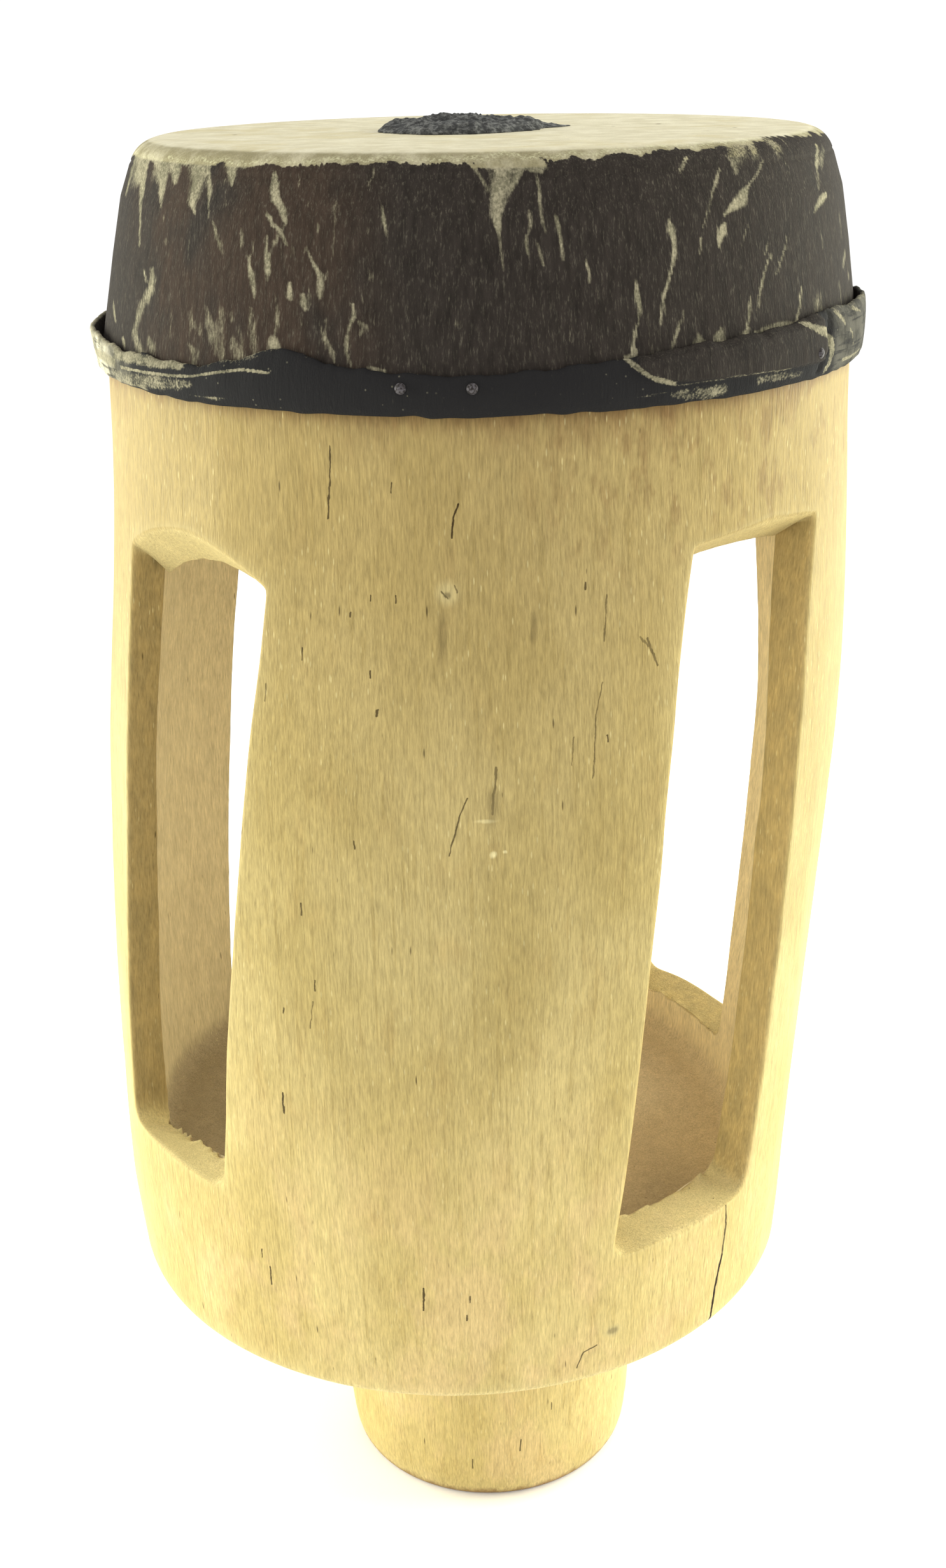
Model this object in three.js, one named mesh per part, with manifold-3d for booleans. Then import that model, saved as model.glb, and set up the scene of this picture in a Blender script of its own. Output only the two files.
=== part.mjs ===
import * as THREE from 'three';
import { mergeVertices } from 'three/addons/utils/BufferGeometryUtils.js';
import Module from 'manifold-3d';

const wasm = await Module();
wasm.setup();

// A standing hand drum carved from one block of pale wood. The hollow body stands on a small round
// foot, four tall windows are cut through its wall, and a hairy hide is stretched over the top.
// Millimetres, +Z up. The origin is the centre of the foot's underside. An azimuth is in degrees:
// 0 is the front stave, towards -Y, and 90 is the right side, towards +X.

// Main sizes of the wooden body
const FOOT_RADIUS = 62.6;
const FOOT_FLARE = 4.4;
const FOOT_HEIGHT = 93;
const FOOT_CHAMFER = 1.5;
const BODY_BOTTOM = 120;
const BODY_EDGE_RADIUS = 141.9;
const BODY_EDGE_ROUND = 1.4;
const BELLY_RADIUS = 148;
const BELLY_HEIGHT = 340;
const BELLY_POWER = 2.4;
const SHOULDER_HEIGHT = 502;
const SHOULDER_RADIUS = 140.5;
const RIM_HEIGHT = 580.2;
const RIM_RADIUS = 117;
const RIM_ROUND = 4;
const WALL = 14.4;
const WALL_AT_FLOOR = 16.5;
const WALL_AT_NECK = 15.6;
const CAVITY_SHIFT = - 1.6;
const FLOOR_EDGE_HEIGHT = 160;
const FLOOR_CENTRE_HEIGHT = 149;
const FLOOR_ROUND = 16;

// The taper under the hide and the round of the rim, as pairs of radius and height
const SHOULDER_TAPER = [
	[ 138.75, 516 ], [ 137.2, 525 ], [ 134.15, 543 ], [ 130.15, 563 ], [ 126.4, 573.8 ],
];
const RIM_CURVE = [ 122.5, 578.9 ];

// The body was carved a little out of true with its foot and its rim
const BODY_LEAN = - 11.7;
const NECK_LEAN = 2.6;
const RIM_LEAN = 2.6;
const HEWN_DEPTH = 0.6;

// The hide and its turned-up hem
const HIDE = 2;
const CLEARANCE = 0.35;
const HEM_BOTTOM = 503.6;
const HEM_TOP = 521;
const HEM_RADIUS = 145.9;
const HEM_GAP = 1.4;
const HEM_FOLD = 5.6;
const HEM_RISE = 4.6;
const HEM_RIPPLE = 3;
const LIP_WAVE = 0.9;

// The dark paste on the head
const PASTE_RADIUS = 33;
const PASTE_HEIGHT = 5.6;
const PASTE_PLACE = [ - 1.4, 2 ];
const PASTE_TAIL = { azimuth: 126, length: 21, spread: 8 };

// The tacks in the hem
const TACK_RADIUS = 1.8;
const TACK_HEIGHT = 1.15;
const TACK_LEVEL = 513;
const TACK_AZIMUTHS = [ - 10, - 1, 52, 118, 176, 232 ];

// The windows. An edge is given by its azimuths at equal steps from the lintel down to the sill, and
// a lintel by its heights at its left end, crown and right end. A slope is the fall, per millimetre
// of wall, towards the inside, and a lintel's changes from its left end to its right.
const WINDOWS = {
	frontLeft: {
		middle: - 49,
		left: [ - 61.6, - 63, - 64.9, - 65.4, - 66.6 ], right: [ - 30, - 33.1, - 35.6, - 36.8, - 39.2 ],
		lintel: [ 446, 457, 443 ], lintelSlopes: [ 1.2, 0.8 ], sill: 199, sillSlope: 0.3,
	},
	frontRight: {
		middle: 41,
		left: [ 30.3, 27.2, 26.9, 26.4, 24.9 ], right: [ 57.4, 54.2, 55, 54.8, 52.8 ],
		lintel: [ 455.5, 457.5, 454.5 ], lintelSlopes: [ 0.6, 0.7 ], sill: 177, sillSlope: 0.05,
	},
	backRight: {
		middle: 127,
		left: [ 115.5, 113.2, 112, 110, 109.6 ], right: [ 142.5, 141.6, 140.8, 140, 139 ],
		lintel: [ 453, 457, 451 ], lintelSlopes: [ 0.6, 0.6 ], sill: 178, sillSlope: 0.1,
	},
	backLeft: {
		middle: - 141,
		left: [ - 156, - 155, - 154, - 153.4, - 152.5 ], right: [ - 128, - 127, - 126, - 125.4, - 125 ],
		lintel: [ 451, 456, 452 ], lintelSlopes: [ 0.6, 0.6 ], sill: 188, sillSlope: 0.1,
	},
};
const SILL_CORNER = 6;

// How finely the shapes are divided
const SEGMENTS = 60;
const PASTE_SEGMENTS = 40;
const TACK_SEGMENTS = 8;
const CORNER_SEGMENTS = 6;
const WALL_LEVELS = 9;

// A window's cut runs between these distances from the axis
const CUT_FROM = 108;
const CUT_TO = 164;
const CUT_STEPS = 3;

const DEGREE = Math.PI / 180;
const { clamp, lerp, smoothstep } = THREE.MathUtils;

const wood = new THREE.MeshStandardMaterial( { color: 0xcdb976, roughness: 0.62, metalness: 0 } );
const hide = new THREE.MeshStandardMaterial( { color: 0x3c3430, roughness: 0.8, metalness: 0 } );
const paste = new THREE.MeshStandardMaterial( { color: 0x3a3b3e, roughness: 0.95, metalness: 0 } );
const steel = new THREE.MeshStandardMaterial( { color: 0x8d8c88, roughness: 0.5, metalness: 0.8 } );

// Curves of the wood

// A shallow barrel: the belly falls away on a power curve to the bottom edge, and on an easy S to
// the shoulder
function outerRadius( z ) {

	const depth = Math.max( BELLY_HEIGHT - z, 0 ) / ( BELLY_HEIGHT - BODY_BOTTOM );
	const below = ( BELLY_RADIUS - BODY_EDGE_RADIUS ) * depth ** BELLY_POWER;
	const above = ( BELLY_RADIUS - SHOULDER_RADIUS ) * smoothstep( z, BELLY_HEIGHT, SHOULDER_HEIGHT + 8 );
	return BELLY_RADIUS - below - above;

}

function wallThickness( z ) {

	const aboveFloor = smoothstep( z, FLOOR_EDGE_HEIGHT, BELLY_HEIGHT );
	const atNeck = smoothstep( z, BELLY_HEIGHT, SHOULDER_HEIGHT - 40 );
	return lerp( lerp( WALL_AT_FLOOR, WALL, aboveFloor ), WALL_AT_NECK, atNeck );

}

// Sideways offset of the wood's centre line at a height
function lean( z ) {

	const foot = smoothstep( z, FOOT_HEIGHT, BODY_BOTTOM );
	const body = smoothstep( z, BODY_BOTTOM + 30, SHOULDER_HEIGHT - 22 );
	const rim = smoothstep( z, SHOULDER_HEIGHT - 30, RIM_HEIGHT + 8 );
	return foot * lerp( BODY_LEAN, NECK_LEAN, body ) + RIM_LEAN * rim;

}

// Shallow waves that the adze left between the foot and the hide
function hewn( azimuth, z ) {

	const risen = smoothstep( z, BODY_BOTTOM, BODY_BOTTOM + 40 );
	const reach = risen * ( 1 - smoothstep( z, SHOULDER_HEIGHT - 40, SHOULDER_HEIGHT ) );
	const angle = azimuth * DEGREE;
	const waves = Math.sin( 5 * angle + z / 70 ) + 0.6 * Math.sin( 11 * angle - z / 45 );
	return HEWN_DEPTH * reach * waves;

}

// A profile of radius and height pairs turned round the leaning centre line. The function moved
// returns each point's own radius, height and sideways shift at an azimuth.
function turned( profile, segments, moved ) {

	const points = profile.map( ( [ r, z ] ) => new THREE.Vector2( r, z ) );
	const geometry = new THREE.LatheGeometry( points, segments );
	const position = geometry.attributes.position;
	for ( let i = 0; i < position.count; i ++ ) {

		const column = Math.floor( i / points.length ) % segments;
		const azimuth = 360 * column / segments;
		const point = points[ i % points.length ];
		const [ r, z, shift = 0 ] = moved( azimuth, point.x, point.y );
		const angle = azimuth * DEGREE;
		position.setXYZ( i, r * Math.sin( angle ) + lean( z ) + shift, - r * Math.cos( angle ), z );

	}

	return geometry;

}

// Solids and meshes

function toSolid( geometry ) {

	geometry.deleteAttribute( 'normal' );
	geometry.deleteAttribute( 'uv' );
	const merged = mergeVertices( geometry, 1e-4 );
	const corners = merged.index.array;
	const faces = [];
	for ( let i = 0; i < corners.length; i += 3 ) {

		const [ a, b, c ] = [ corners[ i ], corners[ i + 1 ], corners[ i + 2 ] ];
		if ( a !== b && b !== c && c !== a ) faces.push( a, b, c );

	}

	return new wasm.Manifold( new wasm.Mesh( {
		numProp: 3,
		vertProperties: new Float32Array( merged.attributes.position.array ),
		triVerts: new Uint32Array( faces ),
	} ) );

}

function toGeometry( solid ) {

	const mesh = solid.getMesh();
	const geometry = new THREE.BufferGeometry();
	geometry.setAttribute( 'position', new THREE.BufferAttribute( new Float32Array( mesh.vertProperties ), 3 ) );
	geometry.setIndex( new THREE.BufferAttribute( new Uint32Array( mesh.triVerts ), 1 ) );
	return geometry;

}

function named( name, geometry, material ) {

	const mesh = new THREE.Mesh( geometry, material );
	mesh.name = name;
	return mesh;

}

// The wooden body

// The foot widens a little to half its height and then flares under the body
function footProfile() {

	const waist = FOOT_RADIUS + FOOT_FLARE;
	return [
		[ 0, 0 ], [ FOOT_RADIUS - FOOT_CHAMFER, 0 ], [ FOOT_RADIUS, FOOT_CHAMFER ],
		[ FOOT_RADIUS + 0.6 * FOOT_FLARE, 0.15 * FOOT_HEIGHT ], [ waist, 0.5 * FOOT_HEIGHT ],
		[ waist + 2, 0.9 * FOOT_HEIGHT ], [ waist + 7, FOOT_HEIGHT + 1 ], [ waist + 20, FOOT_HEIGHT + 9 ],
	];

}

// The outside of the wall from the bottom edge up to the shoulder, and its inside from there down
function wallProfile() {

	const outside = [
		[ BODY_EDGE_RADIUS - 2 * BODY_EDGE_ROUND, BODY_BOTTOM - BODY_EDGE_ROUND / 2 ],
		[ BODY_EDGE_RADIUS, BODY_BOTTOM + BODY_EDGE_ROUND / 2 ],
	];
	const inside = [];
	for ( let i = 1; i <= WALL_LEVELS; i ++ ) {

		const z = lerp( BODY_BOTTOM, SHOULDER_HEIGHT, i / WALL_LEVELS );
		outside.push( [ outerRadius( z ), z ] );
		if ( z > FLOOR_EDGE_HEIGHT + FLOOR_ROUND ) inside.unshift( [ outerRadius( z ) - wallThickness( z ), z ] );

	}

	return { outside, inside };

}

// The rounded edge that the hide bears on, and the inside of the neck below it
function bearingProfile() {

	return [
		[ RIM_RADIUS, RIM_HEIGHT ], [ RIM_RADIUS - RIM_ROUND, RIM_HEIGHT - RIM_ROUND / 2 ],
		[ RIM_RADIUS - RIM_ROUND, RIM_HEIGHT - 2 * RIM_ROUND ],
		[ SHOULDER_RADIUS - WALL_AT_NECK - 5, ( SHOULDER_HEIGHT + RIM_HEIGHT ) / 2 ],
	];

}

// The round where the wall meets the floor, and the floor's shallow bowl
function floorProfile() {

	const wall = outerRadius( FLOOR_EDGE_HEIGHT ) - WALL_AT_FLOOR;
	return [
		[ wall, FLOOR_EDGE_HEIGHT + 0.75 * FLOOR_ROUND ],
		[ wall - 0.3 * FLOOR_ROUND, FLOOR_EDGE_HEIGHT + 0.2 * FLOOR_ROUND ],
		[ wall - FLOOR_ROUND, FLOOR_EDGE_HEIGHT - 0.1 * FLOOR_ROUND ],
		[ 0.45 * wall, lerp( FLOOR_CENTRE_HEIGHT, FLOOR_EDGE_HEIGHT, 0.3 ) ], [ 0, FLOOR_CENTRE_HEIGHT ],
	];

}

// The taper under the hide and the round of the rim, moved outwards by an offset
function shoulder( offset ) {

	const taper = SHOULDER_TAPER.map( ( [ r, z ] ) => [ r + offset, z ] );
	const [ r, z ] = RIM_CURVE;
	return [ ...taper, [ r + Math.SQRT1_2 * offset, z + Math.SQRT1_2 * offset ] ];

}

// Distance of a point of the outer wall to the right of a window's middle line, seen from outside
function across( azimuth, z, middle ) {

	const sideways = lean( z ) * Math.cos( middle * DEGREE );
	return outerRadius( z ) * Math.sin( ( azimuth - middle ) * DEGREE ) + sideways;

}

// How far out the outer wall lies there, along the window's middle line
function outward( u, z, middle ) {

	const fromCentre = u - lean( z ) * Math.cos( middle * DEGREE );
	return Math.sqrt( outerRadius( z ) ** 2 - fromCentre ** 2 ) + lean( z ) * Math.sin( middle * DEGREE );

}

// Points down one edge of a window, from the lintel's height to the sill's
function edgePoints( azimuths, top, sill, middle ) {

	return azimuths.map( ( azimuth, i ) => {

		const z = lerp( top, sill, i / ( azimuths.length - 1 ) );
		return new THREE.Vector2( across( azimuth, z, middle ), z );

	} );

}

// A window's outline: two leaning edges, an arched lintel and a level sill with rounded corners
function windowOutline( { middle, left, right, lintel, sill } ) {

	const leftEdge = edgePoints( left, lintel[ 0 ], sill, middle );
	const rightEdge = edgePoints( right, lintel[ 2 ], sill, middle ).reverse();
	const leftFoot = leftEdge.pop().x;
	const rightFoot = rightEdge.shift().x;
	const leftTop = leftEdge[ 0 ].x;
	const rightTop = rightEdge.at( - 1 ).x;
	const crown = 2 * lintel[ 1 ] - ( lintel[ 0 ] + lintel[ 2 ] ) / 2;
	const shape = new THREE.Shape();
	shape.moveTo( leftFoot + SILL_CORNER, sill );
	shape.lineTo( rightFoot - SILL_CORNER, sill );
	shape.quadraticCurveTo( rightFoot, sill, rightFoot, sill + SILL_CORNER );
	for ( const point of rightEdge ) shape.lineTo( point.x, point.y );
	shape.quadraticCurveTo( ( leftTop + rightTop ) / 2, crown, leftTop, lintel[ 0 ] );
	for ( const point of leftEdge.slice( 1 ) ) shape.lineTo( point.x, point.y );
	shape.lineTo( leftFoot, sill + SILL_CORNER );
	shape.quadraticCurveTo( leftFoot, sill, leftFoot + SILL_CORNER, sill );
	return { shape, leftTop, rightTop };

}

// The block that cuts a window: its outline carried outwards through the wall, with its lintel and
// sill falling towards the inside
function windowBlock( opening ) {

	const { shape, leftTop, rightTop } = windowOutline( opening );
	const geometry = new THREE.ExtrudeGeometry( shape, {
		depth: CUT_TO - CUT_FROM,
		steps: CUT_STEPS,
		bevelEnabled: false,
		curveSegments: CORNER_SEGMENTS,
	} );
	const position = geometry.attributes.position;
	const angle = opening.middle * DEGREE;
	const lintelStart = Math.min( ...opening.lintel ) - 1;
	const sillEnd = opening.sill + SILL_CORNER + 1;
	const [ leftSlope, rightSlope ] = opening.lintelSlopes;
	for ( let i = 0; i < position.count; i ++ ) {

		const u = position.getX( i );
		const z = position.getY( i );
		const out = CUT_FROM + position.getZ( i );
		const place = clamp( ( u - leftTop ) / ( rightTop - leftTop ), 0, 1 );
		const inward = outward( u, z, opening.middle ) - out;
		let slope = 0;
		if ( z > lintelStart ) slope = lerp( leftSlope, rightSlope, place );
		if ( z < sillEnd ) slope = opening.sillSlope;
		const x = u * Math.cos( angle ) + out * Math.sin( angle );
		const y = u * Math.sin( angle ) - out * Math.cos( angle );
		position.setXYZ( i, x, y, z - slope * inward );

	}

	return geometry;

}

function bodySolid() {

	const { outside, inside } = wallProfile();
	const outer = [ ...footProfile(), ...outside, ...shoulder( 0 ) ];
	const inner = [ ...bearingProfile(), ...inside, ...floorProfile() ];
	const isInside = ( r, z ) => z > FLOOR_EDGE_HEIGHT - FLOOR_ROUND && r < outerRadius( z ) - WALL / 2;
	let solid = toSolid( turned( [ ...outer, ...inner ], SEGMENTS, ( azimuth, r, z ) => {

		const nearAxis = Math.min( r / FOOT_RADIUS, 1 );
		const shift = isInside( r, z ) && z < SHOULDER_HEIGHT ? CAVITY_SHIFT : 0;
		return [ r + hewn( azimuth, z ) * nearAxis, z, shift ];

	} ) );
	for ( const opening of Object.values( WINDOWS ) ) {

		solid = solid.subtract( toSolid( windowBlock( opening ) ) );

	}

	return solid;

}

// The hide

// Height of the hem's upper edge: it climbs to the right, with a ripple across the front
function hemTop( azimuth ) {

	const nearFront = azimuth > 180 ? azimuth - 360 : azimuth;
	const across = Math.exp( - ( ( ( nearFront + 14 ) / 28 ) ** 2 ) );
	const ripple = Math.cos( 7 * ( nearFront + 26 ) * DEGREE );
	return HEM_TOP + HEM_RISE * Math.sin( azimuth * DEGREE ) + HEM_RIPPLE * ripple * across;

}

// How far the lip of the hem stands off its even circle
function lipWave( azimuth ) {

	return LIP_WAVE * Math.sin( ( 3 * azimuth - 45 ) * DEGREE );

}

// One closed section: the head, the skirt, the hem turned up outside it with a narrow groove
// between, and the lining that lies on the wood
function hideProfile() {

	const under = RIM_HEIGHT + CLEARANCE;
	const top = under + HIDE;
	const flat = RIM_RADIUS / 2;
	const lip = HEM_RADIUS - HIDE;
	const groove = lip - HEM_GAP;
	const foldTop = HEM_BOTTOM + HEM_FOLD;
	const head = [ [ 0, top ], [ flat, top ], [ RIM_RADIUS + 0.5, top - 0.2 ] ];
	const skirt = shoulder( HIDE + CLEARANCE ).reverse();
	const hem = [
		[ groove - 1.2, foldTop ], [ groove + 0.3, foldTop - 0.6 ],
		[ lip - 0.5, HEM_TOP - 1.2 ], [ lip + 0.6, HEM_TOP ], [ HEM_RADIUS - 0.4, HEM_TOP - 1.6 ],
		[ HEM_RADIUS, TACK_LEVEL ], [ HEM_RADIUS - 0.8, HEM_BOTTOM + 0.6 * HEM_FOLD ],
		[ HEM_RADIUS - 2.6, HEM_BOTTOM + 0.3 ], [ SHOULDER_RADIUS + 1.1, HEM_BOTTOM ],
		[ SHOULDER_RADIUS + CLEARANCE, HEM_BOTTOM + 1.8 ],
	];
	const lining = shoulder( CLEARANCE );
	const underside = [ [ RIM_RADIUS, under ], [ flat, under ], [ 0, under ] ];
	return [ ...head, ...skirt, ...hem, ...lining, ...underside ].reverse();

}

function hideSolid() {

	const lipStart = HEM_RADIUS - HIDE - 1;
	const lipBase = HEM_BOTTOM + HEM_FOLD;
	return toSolid( turned( hideProfile(), SEGMENTS, ( azimuth, r, z ) => {

		const onLip = r > lipStart;
		const stretch = ( hemTop( azimuth ) - lipBase ) / ( HEM_TOP - lipBase );
		const raised = onLip && z > TACK_LEVEL ? lipBase + ( z - lipBase ) * stretch : z;
		return [ onLip ? r + lipWave( azimuth ) : r, raised ];

	} ) );

}

// The paste: an uneven pat with a short tail drawn out across the head

function pasteSolid() {

	const base = RIM_HEIGHT + HIDE + 2 * CLEARANCE;
	const profile = [
		[ 0, base ], [ 1, base ], [ 1, base + 0.2 * PASTE_HEIGHT ], [ 0.9, base + 0.62 * PASTE_HEIGHT ],
		[ 0.66, base + 0.92 * PASTE_HEIGHT ], [ 0.34, base + PASTE_HEIGHT ], [ 0, base + 0.94 * PASTE_HEIGHT ],
	];
	const geometry = turned( profile, PASTE_SEGMENTS, ( azimuth, r, z ) => {

		const angle = azimuth * DEGREE;
		const outline = PASTE_RADIUS + 1.6 * Math.sin( 2 * angle + 0.6 ) + 1.1 * Math.sin( 5 * angle + 2 );
		const fromTail = ( azimuth - PASTE_TAIL.azimuth ) / PASTE_TAIL.spread;
		const tail = PASTE_TAIL.length * Math.exp( - ( fromTail ** 2 ) );
		const lump = 0.5 * Math.sin( 3 * angle + 9 * r ) + 0.35 * Math.sin( 7 * angle - 5 * r );
		const onTop = z > base + 0.5 * PASTE_HEIGHT;
		return [ r * outline + r ** 4 * tail, onTop ? z + lump * r : z ];

	} );
	geometry.translate( PASTE_PLACE[ 0 ] - lean( base ), PASTE_PLACE[ 1 ], 0 );
	return toSolid( geometry );

}

// The tacks

// A small domed head, flat behind
function tackGeometry() {

	const profile = [
		[ 0, 0 ], [ TACK_RADIUS, 0 ], [ TACK_RADIUS, 0.3 * TACK_HEIGHT ],
		[ 0.62 * TACK_RADIUS, 0.78 * TACK_HEIGHT ], [ 0, TACK_HEIGHT ],
	];
	return new THREE.LatheGeometry( profile.map( ( [ r, y ] ) => new THREE.Vector2( r, y ) ), TACK_SEGMENTS );

}

// The head stands on the hem's outer face
function tack( index, azimuth ) {

	const mesh = named( `hem_tack_${ index + 1 }`, toGeometry( toSolid( tackGeometry() ) ), steel );
	const angle = azimuth * DEGREE;
	const r = HEM_RADIUS + lipWave( azimuth ) + CLEARANCE;
	mesh.rotation.set( 0, 0, angle + Math.PI );
	mesh.position.set( r * Math.sin( angle ) + lean( TACK_LEVEL ), - r * Math.cos( angle ), TACK_LEVEL );
	return mesh;

}

// The whole drum

const drum = new THREE.Group();
drum.name = 'ceremonial_drum';
drum.add( named( 'drum_body', toGeometry( bodySolid() ), wood ) );
drum.add( named( 'drumhead_hide', toGeometry( hideSolid() ), hide ) );
drum.add( named( 'tuning_paste', toGeometry( pasteSolid() ), paste ) );
TACK_AZIMUTHS.forEach( ( azimuth, index ) => drum.add( tack( index, azimuth ) ) );

export default drum;
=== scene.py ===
"""Looks for a standing hand drum: carved pale wood, a hairy hide head, dark paste and small tacks.

Lengths are in millimetres until a mesh is made. An azimuth is in degrees round the drum: 0 is the
front stave, towards -Y, and 90 is the right side, towards +X.
"""

import logging
from dataclasses import dataclass
from typing import Any

import bmesh
import bpy
import numpy as np
from mathutils import Matrix, Vector


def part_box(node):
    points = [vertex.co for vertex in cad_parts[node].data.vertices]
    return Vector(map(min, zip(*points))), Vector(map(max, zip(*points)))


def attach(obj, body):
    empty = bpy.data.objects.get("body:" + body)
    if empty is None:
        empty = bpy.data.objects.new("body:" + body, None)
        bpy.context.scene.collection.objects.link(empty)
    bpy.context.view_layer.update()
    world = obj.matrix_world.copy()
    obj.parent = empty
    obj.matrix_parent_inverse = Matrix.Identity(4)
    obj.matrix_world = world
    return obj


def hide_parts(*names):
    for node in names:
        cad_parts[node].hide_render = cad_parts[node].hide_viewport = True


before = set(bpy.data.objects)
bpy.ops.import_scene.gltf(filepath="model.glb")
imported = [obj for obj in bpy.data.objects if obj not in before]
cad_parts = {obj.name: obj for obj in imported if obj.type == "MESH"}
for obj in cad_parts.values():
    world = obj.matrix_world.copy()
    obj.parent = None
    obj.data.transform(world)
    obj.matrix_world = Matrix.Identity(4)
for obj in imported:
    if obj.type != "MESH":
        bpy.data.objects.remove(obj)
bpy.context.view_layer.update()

Array = np.ndarray
Colour = tuple[float, float, float, float]

MM = 0.001
MERGED_WITHIN = 0.01 * MM
SHORTEST_EDGE = 0.001 * MM
WALL_DEGREE = 2.5  # millimetres that one degree spans on the wall
HEM_DEGREE = 2.53  # and on the hem
BODY = "root"
LOG = logging.getLogger("drum")


def eased(value: Array, low: float, high: float) -> Array:
    """Return an even S-curve of value: 0 below low, 1 above high, 3t^2 - 2t^3 between."""
    share = np.clip((value - low) / (high - low), 0.0, 1.0)
    return share * share * (3.0 - 2.0 * share)


def between(first: Array, last: Array, share: Array) -> Array:
    """Return first at share 0, last at share 1, and a straight line between."""
    return first + (last - first) * share


def hill(value: Array, centre: float, width: float) -> Array:
    """Return a bell curve, exp(-((value - centre) / width)^2)."""
    return np.exp(-(((value - centre) / width) ** 2))


def turned_to(azimuth: Array, centre: float) -> Array:
    """Return azimuth moved by whole turns to within half a turn of centre."""
    return (azimuth - centre + 180.0) % 360.0 - 180.0 + centre


def painted(red: int, green: int, blue: int) -> Colour:
    """Return a screen colour, 0 to 255 a channel, as linear light with alpha 1."""
    share = np.array([red, green, blue]) / 255.0
    linear = np.where(share <= 0.04045, share / 12.92, ((share + 0.055) / 1.055) ** 2.4)
    return (*linear.tolist(), 1.0)


@dataclass(frozen=True)
class Noise:
    """Smooth random values in space, from -1 to 1: random numbers at the corners of a lattice,
    blended inside each cell with eased weights."""

    seed: int
    step: tuple[float, float, float]

    def at(self, points: Array) -> Array:
        """Return the value at each point.

        Args:
            points: Places in millimetres, with x, y and z on the last axis.

        Returns:
            One value a point.
        """
        table = np.random.default_rng(self.seed).uniform(-1.0, 1.0, (64, 64, 64))
        place = points / np.array(self.step)
        cell = np.floor(place).astype(int)
        share = place - cell
        share = share * share * (3.0 - 2.0 * share)
        total = np.zeros(points.shape[:-1])
        for corner in np.ndindex(2, 2, 2):
            weight = np.where(np.array(corner) == 1, share, 1.0 - share).prod(axis=-1)
            i, j, k = np.moveaxis((cell + np.array(corner)) % 64, -1, 0)
            total += weight * table[i, j, k]
        return total


class Skin:
    """Collects grids of points and makes them one closed mesh with named values at its points."""

    def __init__(self, name: str, marks: tuple[str, ...]) -> None:
        """Start with no grid; marks are the names of the values that each point carries."""
        self.name = name
        self.marks = marks
        self.points: list[Array] = []
        self.faces: list[Array] = []
        self.values: dict[str, list[Array]] = {mark: [] for mark in marks}
        self.count = 0

    def add(self, grid: Array, **marks: Array | float) -> None:
        """Add one grid of points joined by four-sided faces, its last column to its first.

        Args:
            grid: Points in millimetres, rows by columns by three.
            marks: Values at the points, each a number or a rows by columns array.
        """
        rows, columns = grid.shape[:2]
        index = np.arange(rows * columns).reshape(rows, columns) + self.count
        index = np.concatenate([index, index[:, :1]], axis=1)
        quads = np.stack([index[:-1, :-1], index[:-1, 1:], index[1:, 1:], index[1:, :-1]], axis=-1)
        self.points.append(grid.reshape(-1, 3))
        self.faces.append(quads.reshape(-1, 4))
        for mark in self.marks:
            value = np.broadcast_to(marks.get(mark, 0.0), (rows, columns))
            self.values[mark].append(value.reshape(-1))
        self.count += rows * columns

    def build(self) -> bpy.types.Object:
        """Make the mesh, merge shared points, close it and turn its faces outwards.

        Returns:
            The object, at the origin, in metres.
        """
        points = np.concatenate(self.points) * MM
        quads = np.concatenate(self.faces)
        mesh = bpy.data.meshes.new(self.name)
        mesh.vertices.add(len(points))
        mesh.vertices.foreach_set("co", points.astype(np.float32).ravel())
        mesh.loops.add(quads.size)
        mesh.loops.foreach_set("vertex_index", quads.astype(np.int32).ravel())
        mesh.polygons.add(len(quads))
        mesh.polygons.foreach_set("loop_start", np.arange(0, quads.size, 4, dtype=np.int32))
        for mark in self.marks:
            layer = mesh.attributes.new(mark, "FLOAT", "POINT")
            layer.data.foreach_set("value", np.concatenate(self.values[mark]).astype(np.float32))
        mesh.update(calc_edges=True)
        mesh.validate()
        work = bmesh.new()
        work.from_mesh(mesh)
        bmesh.ops.remove_doubles(work, verts=work.verts, dist=MERGED_WITHIN)
        bmesh.ops.dissolve_degenerate(work, edges=work.edges, dist=SHORTEST_EDGE)
        bmesh.ops.recalc_face_normals(work, faces=work.faces)
        work.to_mesh(mesh)
        work.free()
        mesh.polygons.foreach_set("use_smooth", np.ones(len(mesh.polygons), bool))
        piece = bpy.data.objects.new(self.name, mesh)
        bpy.context.scene.collection.objects.link(piece)
        return piece


class Wire:
    """A socket whose arithmetic adds Math nodes."""

    def __init__(self, bench: "Bench", socket: bpy.types.NodeSocket) -> None:
        """Wrap a node's output socket."""
        self.bench = bench
        self.socket = socket

    def output(self, name: str) -> "Wire":
        """Return another output of the same node."""
        return Wire(self.bench, self.socket.node.outputs[name])

    def __add__(self, other: "Wire | float") -> "Wire":
        """Return self + other."""
        return self.bench.math("ADD", self, other)

    def __sub__(self, other: "Wire | float") -> "Wire":
        """Return self - other."""
        return self.bench.math("SUBTRACT", self, other)

    def __rsub__(self, other: "Wire | float") -> "Wire":
        """Return other - self."""
        return self.bench.math("SUBTRACT", other, self)

    def __mul__(self, other: "Wire | float") -> "Wire":
        """Return self * other."""
        return self.bench.math("MULTIPLY", self, other)

    __radd__ = __add__
    __rmul__ = __mul__


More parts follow.
